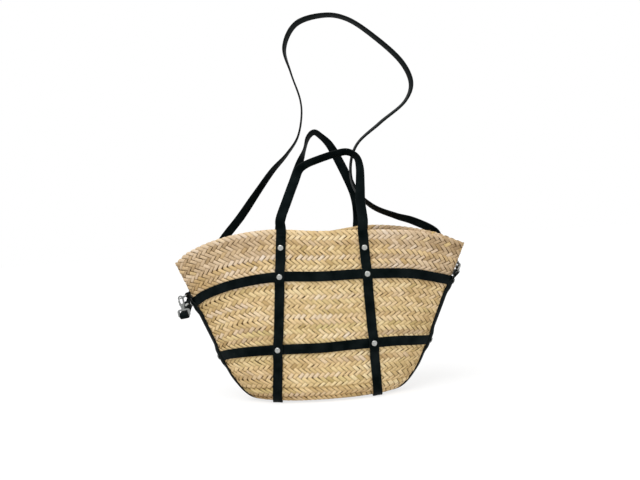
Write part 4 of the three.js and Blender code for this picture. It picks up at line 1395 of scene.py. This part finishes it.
@dataclass
class Harness:
    """Belts, cradle straps and side strap that hold the basket, with the two grab handles.

    Belt lines hold shares of the half length and of the wall's height. Handles hold the share of
    the way from the left leg to the right, the height over the legs in millimetres, and the turn of
    the strap from face-on to edge-on in degrees.
    """

    form: BasketForm
    width: float = 16.5 * MM
    thickness: float = 2.4 * MM
    seat_gap: float = 0.5 * MM
    layer_gap: float = 0.4 * MM
    bump_flat: float = 1.5 * MM
    bump_ramp: float = 13 * MM
    over_rim: float = 3 * MM
    base_ease: float = 0.7 * MM
    base_ease_share: float = 0.04
    foot_step: float = 4
    foot_stops: int = 40
    wall_stops: int = 120
    belt_stops: int = 281
    side_from: float = 0.4
    side_stops: int = 110
    flex_gap: float = 1 * MM
    flex_reach: float = 8 * MM
    flex_half: float = 6 * MM
    flex_stops: int = 6
    ring_tail: float = 8 * MM
    fold_radius: float = 3 * MM
    bend_fade: float = 0.05
    keel_inset: float = 8 * MM
    leg_start: float = 9 * MM
    pitch: float = 2.0 * MM
    side_pitch: float = 1.2 * MM
    rounding: int = 2
    cradle_rounding: int = 3
    crossing_rounds: int = 6
    belt_lines: dict = lookup({
        Belt.UPPER: ((-1, 0.712), (-0.33, 0.728), (0.3, 0.74), (1, 0.742)),
        Belt.LOWER: ((-1, 0.318), (-0.33, 0.311), (0.3, 0.325), (1, 0.333)),
    })
    riser_base: dict = lookup({Side.LEFT: -90 * MM, Side.RIGHT: 79 * MM})
    riser_rim: dict = lookup({
        Face.FRONT: {Side.LEFT: -62.5 * MM, Side.RIGHT: 71 * MM},
        Face.BACK: {Side.LEFT: -72 * MM, Side.RIGHT: 70 * MM},
    })
    leans: dict = lookup({Face.FRONT: 33 * MM, Face.BACK: 36 * MM})
    handles: dict = lookup({
        Face.FRONT: (
            (0.096, 45, 4), (0.199, 78, 14), (0.27, 98, 34), (0.36, 106.5, 48),
            (0.5, 114.5, 50), (0.757, 126, 52), (0.89, 128.5, 56), (0.995, 120, 58),
            (1.025, 103, 44), (1.012, 70, 28), (0.998, 44, 12),
        ),
        Face.BACK: (
            (0.108, 56, 4), (0.22, 90, 10), (0.319, 123, 44), (0.39, 145, 78),
            (0.45, 166, 68), (0.525, 173.5, 62), (0.613, 164, 60), (0.7, 150, 44),
            (0.788, 126, 24), (0.914, 84, 8), (0.98, 57, 3), (1.006, 34, 0),
        ),
    })
    leather: Material = field(init=False)

    @property
    def section(self) -> StrapSection:
        """Section of every harness strap."""
        return StrapSection(self.width, self.thickness)

    @property
    def seat_height(self) -> float:
        """Height of a strap's middle over the wall that it lies on."""
        return self.seat_gap + self.thickness / 2

    def belt_share(self, belt: Belt, angle: Array) -> Array:
        """Share of the wall's height at which a belt runs."""
        return through(self.belt_lines[belt], np.cos(angle), 1)

    def crossing(self, belt: Belt, face: Face, side: Side) -> float:
        """Finds where a belt crosses a riser.

        Args:
            belt: The belt.
            face: Face of the basket.
            side: Left or right.

        Returns:
            Share of the wall's height.
        """
        share = np.array(self.belt_lines[belt][0][1])
        for _ in range(self.crossing_rounds):
            share = self.belt_share(belt, self.riser_angle(face, side, self.form.step_at(share)))
        return float(share)

    def belt_lift(self, share: Array, angle: Array) -> Array:
        """Measures how far a strap rises where it runs over the belts.

        Args:
            share: Shares of the wall's height.
            angle: Angles round the basket.

        Returns:
            The rise at each place.
        """
        lift = np.zeros(np.shape(share))
        for belt in Belt:
            away = np.abs(share - self.belt_share(belt, angle)) * self.form.rim_height(angle)
            ramp = np.clip(1 - (away - self.width / 2 - self.bump_flat) / self.bump_ramp, 0, 1)
            lift = np.maximum(lift, (self.thickness + self.layer_gap) * eased(ramp, 0, 1))
        return lift

    def riser_angle(self, face: Face, side: Side, step: Array) -> Array:
        """Finds where a riser crosses a step of the wall.

        Args:
            face: Face of the basket.
            side: Left or right riser.
            step: Steps of the profile.

        Returns:
            Angles round the basket.
        """
        share, half_length, _, _, middle = self.form.section(step)
        low, high = self.riser_base[side], self.riser_rim[face][side]
        x = low + (high - low) * share + self.form.centre_x
        angle = np.arccos((x - middle) / half_length)
        return angle if face is Face.BACK else 2 * math.pi - angle

    def riser(self, face: Face, side: Side) -> tuple[StrapRun, Array]:
        """Path of a cradle strap up one face.

        Args:
            face: Face of the basket.
            side: Left or right riser.

        Returns:
            The path from the base edge to the rim, and the direction up at its top.
        """
        foot = np.linspace(0, self.foot_step, self.foot_stops)
        wall = np.linspace(self.foot_step, self.form.rim_step, self.wall_stops)[1:]
        step = np.concatenate((foot, wall))
        share = self.form.section(step)[0]
        angle = self.riser_angle(face, side, step)
        ease = self.base_ease * (1 - eased(share, 0, self.base_ease_share))
        over = self.seat_height + self.belt_lift(share, angle) + ease
        points = self.form.lifted(step, angle, over)
        _, sides, up, _ = self.form.axes(step, angle)
        points = np.vstack((points, points[-1] + up[-1] * self.over_rim))
        return StrapRun(points, np.vstack((sides, sides[-1]))), up[-1]

    def laid(self, sheet: GridSheet, node: str, name: str) -> None:
        """Turns a swept strap into a piece of the harness."""
        piece = made(sheet.bm, f"{name}_leather", self.leather)
        seat(piece, "basket", "harness_leather", node)

    def belt(self, belt: Belt) -> None:
        """Lays a belt round the basket.

        Args:
            belt: Which belt.
        """
        middle_step = float(self.form.step_at(self.belt_lines[belt][1][1]))
        ring, angles, _ = self.form.even_angles(middle_step, Skin.OUTSIDE)
        angle = np.interp(np.linspace(0, 1, self.belt_stops), ring, angles)
        step = self.form.step_at(self.belt_share(belt, angle))
        points = self.form.lifted(step, angle, np.full(angle.shape, self.seat_height))
        up = self.form.axes(step, angle)[2]
        sheet = StrapRun(points, up).mesh(self.section, ringed=True)
        self.laid(sheet, f"{belt.value}_belt", f"{belt.value}_belt")

    def cradle(self, side: Side) -> None:
        """Lays a cradle strap up the front, flat under the base and up the back.

        Args:
            side: Left or right strap.
        """
        front, back = (self.riser(face, side)[0] for face in Face)
        foot = self.thickness / 2
        low = [run.points[0] * (1, 1, 0) + (0, 0, foot) for run in (front, back)]
        points = np.vstack((front.points[:0:-1], *low, back.points[1:]))
        sides = np.vstack((front.sides[:0:-1], X_WAY, X_WAY, -back.sides[1:]))
        length = run_length(points)
        cut = self.over_rim + self.flex_reach
        keep = (length > cut) & (length < length[-1] - cut)
        ends = read_along(np.array((cut, length[-1] - cut)), length, points)
        points = np.vstack((ends[0], points[keep], ends[1]))
        kept = sides[keep]
        run = StrapRun(points, np.vstack((kept[0], kept, kept[-1])))
        run = run.smoothed(self.pitch, self.cradle_rounding)
        run.points[:, 2] = np.maximum(run.points[:, 2], foot)
        sheet = run.mesh(self.section)
        for vert in sheet.bm.verts:
            vert.co.z = max(vert.co.z, 0.0)
        self.laid(sheet, f"{side.value}_cradle_strap", f"{side.value}_cradle")

    def side_half(self, side: Side) -> tuple[Array, Array]:
        """Path of the side strap from the base edge up one pointed end and round its ring.

        Args:
            side: Pointed end.

        Returns:
            The path, and how far the strap's edges bend round the end at each point.
        """
        form = self.form
        rise = (self.width / 2 + self.bump_flat) / form.body_height
        top = float(form.step_at(self.belt_share(Belt.UPPER, np.array(side.angle)) + rise))
        step = np.linspace(self.side_from, top, self.side_stops)
        angles = np.full(step.shape, side.angle)
        share, half_length, half_depth, sharpness, _ = form.section(step)
        sine = (self.width / 2 / half_depth) ** (1 / sharpness)
        near_ring = eased(share, share[-1] - self.bend_fade, share[-1])
        curl = half_length * (1 - np.sqrt(1 - sine**2)) * (1 - near_ring)
        climb = form.lifted(step, angles, self.seat_height + self.belt_lift(share, angles))
        bar, _ = joint_line(f"ring_{side.value}_swing")
        normal, _, up, _ = (part[0] for part in form.axes(np.array([top]), np.array([side.angle])))
        turn = HALF_TURN[:, None]
        fold = bar + self.fold_radius * (normal * np.cos(turn) + up * np.sin(turn))
        tail = fold[-1] - up * self.ring_tail
        return np.vstack((climb, fold, tail)), np.append(curl, np.zeros(len(fold) + 1))

    def side_strap(self) -> None:
        """Lays the side strap from ring to ring, down the pointed ends and under the base."""
        (left, left_curl), (right, right_curl) = (self.side_half(side) for side in Side)
        keel = self.form.base_lift + self.thickness / 2
        ends = (left[0, 0] + self.keel_inset, right[0, 0] - self.keel_inset)
        low = [(x, self.form.centre_y, keel) for x in ends]
        points = np.vstack((left[::-1], low, right))
        curls = np.concatenate((left_curl[::-1], (0.0, 0.0), right_curl))
        sides = np.tile(Y_WAY, (len(points), 1))
        run = StrapRun(points, sides, curls).smoothed(self.side_pitch, self.rounding)
        self.laid(run.mesh(self.section), "side_strap", "side_strap")

    def below_rim(self, run: StrapRun) -> StrapRun:
        """Cuts off the last stretch of a riser, which belongs to the handle's length of leather.

        Args:
            run: The riser.

        Returns:
            Its last stretch.
        """
        length = run_length(run.points)
        cut = length[-1] - self.over_rim - self.flex_reach
        at = np.linspace(cut, length[-1], self.flex_stops)
        points, sides = (read_along(at, length, table) for table in (run.points, run.sides))
        return StrapRun(points, unit(sides))

    def handle(self, face: Face) -> None:
        """Bends a grab handle up from its risers, to follow the basket below the rim.

        Args:
            face: Face of the basket.
        """
        risers, ups = zip(*(self.riser(face, side) for side in Side))
        starts = [run.points[-1] + up * self.flex_gap for run, up in zip(risers, ups)]
        rows = np.array(self.handles[face])
        height = rows[:, 1] * MM
        middle = starts[0] + (starts[1] - starts[0]) * rows[:, :1]
        middle[:, 1] += face.inward * self.leans[face] * height / height.max()
        middle[:, 2] += height
        left, right = ((start, start + up * self.leg_start) for start, up in zip(starts, ups))
        points = np.vstack((*left, middle, *right[::-1]))
        turns = np.concatenate(([0, 0], rows[:, 2], [0, 0]))
        free = turned_run(points, turns, -face.inward * Y_WAY)
        low = [self.below_rim(run) for run in risers]
        for leg, run, end in zip(low, risers, (0, -1)):
            leg.sides *= np.sign(np.sum(run.sides[-1] * free.sides[end]))
        points = np.vstack((low[0].points, free.points, low[1].points[::-1]))
        sides = np.vstack((low[0].sides, free.sides, low[1].sides[::-1]))
        run = StrapRun(points, sides).smoothed(self.pitch, self.rounding)
        body = f"{face.value}_handle"
        piece = made(run.mesh(self.section).bm, f"{body}_leather", self.leather)
        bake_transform(piece)
        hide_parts(body)
        LOG.info("%s bends from basket to %s", piece.name, body)

    def build(self) -> None:
        """Makes every harness strap and both handles."""
        self.leather = LeatherFinish("harness_leather_black").build()
        for belt in Belt:
            self.belt(belt)
        for side in Side:
            self.cradle(side)
        self.side_strap()
        for face in Face:
            self.handle(face)


@dataclass
class ShoulderStrap:
    """The long strap in its loose loop, folded and riveted round the eye of a clip at each end.

    The route holds places in millimetres, and the turn from face-on to edge-on in degrees.
    """

    form: BasketForm
    width: float = 15 * MM
    thickness: float = 3 * MM
    edge_radius: float = 0.9 * MM
    roughness: float = 0.42
    pitch: float = 1.6 * MM
    rounding: int = 1
    fold_length: float = 36 * MM
    fold_meets: float = 14 * MM
    fold_radius: float = 4.02 * MM
    fold_closed: float = 1.7 * MM
    eye_drop: float = 13.5 * MM
    twist_share: float = 0.087
    runs: dict = lookup({
        Side.LEFT: np.array((0.12, 0.8, 0.59)),
        Side.RIGHT: np.array((-0.614, 0.325, 0.719)),
    })
    route: tuple = (
        (-229, 44, 210, 0), (-204, 53, 248, 0), (-170, 54, 290, 0), (-141, 46, 321, 15),
        (-109, 35, 360, 45), (-76, 24, 399, 62), (-48, 12, 425, 82), (-27, 5, 452, 90),
        (-17, 0, 490, 90), (-17.5, 0, 517, 90), (-30.5, 0, 565, 86), (-39, 0, 610, 73),
        (-16, 0, 650, 72), (38, 0, 662, 80), (73, 0, 653, 82), (115, 0, 622, 78),
        (166.5, 0, 567, 74), (178, 0, 531, 73), (166, 0, 503, 76), (118.5, 0, 467, 73),
        (75, 0, 431, 79), (62, 0, 393, 83), (67, 8, 357, 80), (97, 26, 324, 64),
        (140, 42, 304, 52), (172, 54, 293, 30), (211, 54, 270, 0),
    )

    def fold(self, side: Side) -> tuple[Array, Array]:
        """Folds an end of the strap round a clip's eye.

        Args:
            side: Left or right end.

        Returns:
            The path from the tail end on, and the direction of the eye's bar.
        """
        pivot, axis = joint_line(f"clip_{side.value}_swivel")
        eye = pivot + axis * self.eye_drop
        bar = unit(np.cross(axis, self.runs[side]))
        run = unit(self.runs[side] - bar * np.dot(self.runs[side], bar))
        face = unit(np.cross(bar, run))
        face = face if face[1] < 0 else -face
        tail = np.array((self.fold_length, self.fold_meets, self.fold_meets / 2))
        closed = self.fold_closed
        gap = np.array((closed, closed, 0.5 * (self.fold_radius + closed)))
        along = np.concatenate((tail, -self.fold_radius * np.sin(HALF_TURN), tail[::-1]))
        over = np.concatenate((gap, self.fold_radius * np.cos(HALF_TURN), -gap[::-1]))
        return eye + along[:, None] * run + over[:, None] * face, bar

    def build(self) -> None:
        """Makes the strap, which turns from each eye's bar into the route."""
        folds = [self.fold(side) for side in Side]
        route = np.array(self.route, float)
        places = route[:, :3] * MM + (self.form.centre_x, self.form.centre_y, 0)
        points = np.vstack((folds[0][0][-1], places, folds[1][0][-1]))
        free = turned_run(points, np.concatenate(([0], route[:, 3], [0])), -Y_WAY)
        share = run_length(free.points) / run_length(free.points)[-1]
        sides = free.sides.copy()
        for (_, bar), distance in zip(folds, (share, 1 - share)):
            near = distance < self.twist_share
            facing = np.sign(sides[near] @ bar)[:, None] * bar
            weight = eased(distance[near], 0, self.twist_share)[:, None]
            sides[near] = unit(facing * (1 - weight) + sides[near] * weight)
        left, right = (
            np.tile(bar * np.sign(bar @ sides[end]), (len(path) - 1, 1))
            for (path, bar), end in zip(folds, (0, -1))
        )
        points = np.vstack((folds[0][0][:-1], free.points, folds[1][0][-2::-1]))
        run = StrapRun(points, np.vstack((left, sides, right)))
        run = run.smoothed(self.pitch, self.rounding)
        sheet = run.mesh(StrapSection(self.width, self.thickness, self.edge_radius))
        leather = LeatherFinish("shoulder_leather_black", roughness=self.roughness).build()
        piece = made(sheet.bm, "shoulder_strap_leather", leather)
        seat(piece, "shoulder", "shoulder_leather", "shoulder_strap")


# Metal


@dataclass
class Fittings:
    """Rivets, rings and swivel clips."""

    form: BasketForm
    harness: Harness
    cap_radius: float = 4.8 * MM
    cap_height: float = 1.7 * MM
    cap_foot: float = 0.95
    cap_brim: float = 0.15
    cap_fullness: float = 0.9
    cap_power: float = 0.7
    cap_stops: int = 7
    inner_radius: float = 4 * MM
    inner_height: float = 1.2 * MM
    inner_flat: float = 0.85
    inner_brim: float = 0.6
    post_radius: float = 1.6 * MM
    rivet_sides: int = 28
    press_gap: float = 0.3 * MM
    rim_share: float = 0.895
    wire_radius: float = 1.4 * MM
    ring_straight: float = 8.4 * MM
    ring_corner: float = 3 * MM
    ring_length: float = 14 * MM
    bar_stops: int = 12
    corner_stops: int = 8
    arch_stops: int = 41
    softening: float = 0.35 * MM
    soft_angle: float = 50.0
    soft_segments: int = 2
    # Painted reflection: the clips and rings take a darker nickel than the rivets, as if reflecting
    # a dark surround.
    clip_dark_reflection_tones: tuple = ((0.35, (0.19, 0.195, 0.19)), (0.65, (0.28, 0.29, 0.28)))
    clip_roughness: tuple = (0.12, 0.28)
    ring_ways: dict = lookup({
        Side.LEFT: np.array((-0.9, 0.0, -0.436)),
        Side.RIGHT: np.array((0.45, 0.0, 0.893)),
    })
    rivet_finish: Material = field(init=False)
    clip_finish: Material = field(init=False)

    def rivet_outline(self, layers: int, through_wall: bool) -> list[tuple[float, float]]:
        """Outline of a rivet over the wall's face, from the foot of its post to the top of its cap.

        Args:
            layers: Straps under its cap.
            through_wall: Whether it has a head inside the basket.

        Returns:
            Radius and height of each point.
        """
        harness = self.harness
        grip = harness.seat_gap + self.press_gap + harness.thickness
        grip += (layers - 1) * (harness.thickness + harness.layer_gap)
        outline = [(0.0, harness.seat_gap), (self.post_radius, harness.seat_gap)]
        if through_wall:
            head = -self.form.wall - self.press_gap
            outline = [
                (0.0, head - self.inner_height),
                (self.inner_radius * self.inner_flat, head - self.inner_height),
                (self.inner_radius, head - self.inner_height * self.inner_brim),
                (self.inner_radius, head),
                (self.post_radius, head),
            ]
        outline += [(self.post_radius, grip), (self.cap_radius * self.cap_foot, grip)]
        full, brim = self.cap_fullness, self.cap_brim
        for turn in np.linspace(0, math.pi / 2, self.cap_stops):
            cosine = math.cos(turn)
            out = self.cap_radius * (full * cosine**self.cap_power + (1 - full) * cosine)
            rise = self.cap_height * (brim + (1 - brim) * math.sin(turn))
            outline.append((out, grip + rise))
        outline[-1] = (0.0, outline[-1][1])
        return outline

    def rivet(self, node: str, step: float, angle: float, layers: int, through_wall: bool) -> None:
        """Spins one rivet and sets it through the leather.

        Args:
            node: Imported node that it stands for.
            step: Step of the wall's profile.
            angle: Angle round the basket.
            layers: Straps under its cap.
            through_wall: Whether it has a head inside the basket.
        """
        spot = (np.array([step]), np.array([angle]))
        normal, _, up, _ = self.form.axes(*spot)
        place = Matrix.Identity(4)
        for column, way in enumerate((np.cross(up[0], normal[0]), up[0], normal[0])):
            place.col[column].xyz = way
        place.translation = self.form.outer(*spot)[0]
        body = spun(self.rivet_outline(layers, through_wall), self.rivet_sides, place)
        seat(made(body, f"{node}_turned", self.rivet_finish), "basket", "rivet_metal", node)

    def rivets(self) -> None:
        """Sets every rivet of the harness."""
        for face in Face:
            for side in Side:
                shares = {"rim": self.rim_share}
                shares |= {belt.value: self.harness.crossing(belt, face, side) for belt in Belt}
                for place, share in shares.items():
                    step = self.form.step_at(np.array(share))
                    angle = float(self.harness.riser_angle(face, side, step))
                    node = f"rivet_{face.value}_{side.value}_{place}"
                    self.rivet(node, float(step), angle, 1 if place == "rim" else 2, True)
        for side in Side:
            for belt in Belt:
                share = self.harness.belt_share(belt, np.array(side.angle))
                step = float(self.form.step_at(share))
                self.rivet(f"rivet_{side.value}_end_{belt.value}", step, side.angle, 2, False)

    def ring(self, side: Side) -> None:
        """Bends the wire of a D ring round from its straight bar.

        Args:
            side: Left or right ring.
        """
        bar, _ = joint_line(f"ring_{side.value}_swing")
        out = unit(self.ring_ways[side])
        straight, corner = self.ring_straight, self.ring_corner
        reach = self.ring_length - corner
        quarter = np.linspace(0, math.pi / 2, self.corner_stops)
        arch = np.linspace(0, math.pi, self.arch_stops)[1:-1]
        line = np.linspace(-straight, straight, self.bar_stops)[:-1]
        stops = (
            (line, np.zeros(len(line))),
            (straight + corner * np.sin(quarter), corner * (1 - np.cos(quarter))),
            ((straight + corner) * np.cos(arch), corner + reach * np.sin(arch)),
            (-straight - corner * np.cos(quarter), corner * (1 - np.sin(quarter))),
        )
        x, y = (np.concatenate(parts) for parts in zip(*stops))
        points = bar + x[:, None] * Y_WAY + y[:, None] * out
        facing = np.tile(unit(np.cross(out, Y_WAY)), (len(points), 1))
        sheet = StrapRun(points, facing).mesh(WireSection(self.wire_radius), ringed=True)
        piece = made(sheet.bm, f"d_ring_{side.value}_wire", self.clip_finish)
        seat(piece, f"ring_{side.value}", "clip_metal", f"d_ring_{side.value}")

    def soften(self, node: Piece) -> None:
        """Rounds the sharp edges of a clip.

        Args:
            node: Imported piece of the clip.
        """
        bevel = node.modifiers.new("soft_edges", "BEVEL")
        bevel.width = self.softening
        bevel.segments = self.soft_segments
        bevel.limit_method = "ANGLE"
        bevel.angle_limit = math.radians(self.soft_angle)

    def build(self) -> None:
        """Makes rivets and rings, and gives the clips their finish."""
        self.rivet_finish = MetalFinish("rivet_nickel").build()
        self.clip_finish = MetalFinish(
            "clip_nickel_dark_reflection", self.clip_dark_reflection_tones, roughness=self.clip_roughness
        ).build()
        self.rivets()
        for name, node in frame["nodes"].items():
            if name.startswith(("strap_rivet", "clip_")):
                clip = name.startswith("clip_")
                node.data.materials.clear()
                node.data.materials.append(self.clip_finish if clip else self.rivet_finish)
                if clip:
                    self.soften(node)
        for side in Side:
            self.ring(side)


# Stage


@dataclass
class Studio:
    """White floor, soft light and the camera of the picture."""

    form: BasketForm
    distance: float = 1300 * MM
    eye_height: float = 270 * MM
    roll: float = 4.0
    picture_width: float = 1120 * MM
    sensor: float = 36.0
    ambient: float = 0.55
    floor_reach: float = 30.0
    floor_cells: int = 4
    lamps: tuple = (("key_lamp", -35, 55, 1.7, 50), ("fill_lamp", 50, 35, 0.45, 70))

    def floor(self) -> None:
        """Lays the floor."""
        bm = bmesh.new()
        cells = {"x_segments": self.floor_cells, "y_segments": self.floor_cells}
        bmesh.ops.create_grid(bm, size=self.floor_reach, **cells)
        made(bm, "studio_floor", FloorFinish().build())

    def world(self) -> None:
        """Sets a white background and a plain grey light all round."""
        world = bpy.data.worlds.new("studio_world")
        bpy.context.scene.world = world
        n = Nodes(world, "OutputWorld")
        strength = n.spread(n.seen(), self.ambient, 1.0)
        n.finish(n.add("Background", Color=(*WHITE, 1.0), Strength=strength))

    def lamp(self, name: str, azimuth: float, height: float, light: float, softness: float) -> None:
        """Adds a wide soft lamp far away.

        Args:
            name: Name of the lamp.
            azimuth: Degrees to the right of the camera's side.
            height: Degrees above the floor.
            light: Light on a face turned to it.
            softness: Degrees across that the lamp covers.
        """
        sun = bpy.data.lights.new(name, "SUN")
        sun.energy = light
        sun.angle = math.radians(softness)
        lamp = bpy.data.objects.new(name, sun)
        a, e = math.radians(azimuth), math.radians(height)
        back = Vector((math.sin(a) * math.cos(e), -math.cos(a) * math.cos(e), math.sin(e)))
        lamp.rotation_euler = back.to_track_quat("Z", "Y").to_euler()
        bpy.context.scene.collection.objects.link(lamp)

    def camera(self) -> None:
        """Places the camera as the picture was taken, a little rolled."""
        data = bpy.data.cameras.new("picture_camera")
        data.sensor_width = self.sensor
        data.lens = self.sensor * self.distance / self.picture_width
        camera = bpy.data.objects.new("picture_camera", data)
        level = Matrix.Rotation(math.radians(90), 4, "X")
        roll = Matrix.Rotation(math.radians(-self.roll), 4, "Z")
        eye = (self.form.centre_x, self.form.centre_y - self.distance, self.eye_height)
        camera.matrix_world = Matrix.Translation(eye) @ level @ roll
        bpy.context.scene.collection.objects.link(camera)
        bpy.context.scene.camera = camera

    def build(self) -> None:
        """Sets the whole stage."""
        bpy.context.scene.view_settings.view_transform = "Standard"
        self.floor()
        self.world()
        for lamp in self.lamps:
            self.lamp(*lamp)
        self.camera()


def main() -> None:
    """Builds the bag's pieces in order."""
    logging.basicConfig(level=logging.INFO, format="%(message)s")
    low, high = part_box("rim_braid")
    form = BasketForm(
        centre_x=(low.x + high.x) / 2 - BasketForm.rim_lean,
        centre_y=(low.y + high.y) / 2,
    )
    PlaitedBasket(form).build()
    harness = Harness(form)
    harness.build()
    ShoulderStrap(form).build()
    Fittings(form, harness).build()
    Studio(form).build()


if __name__ == "__main__":
    main()
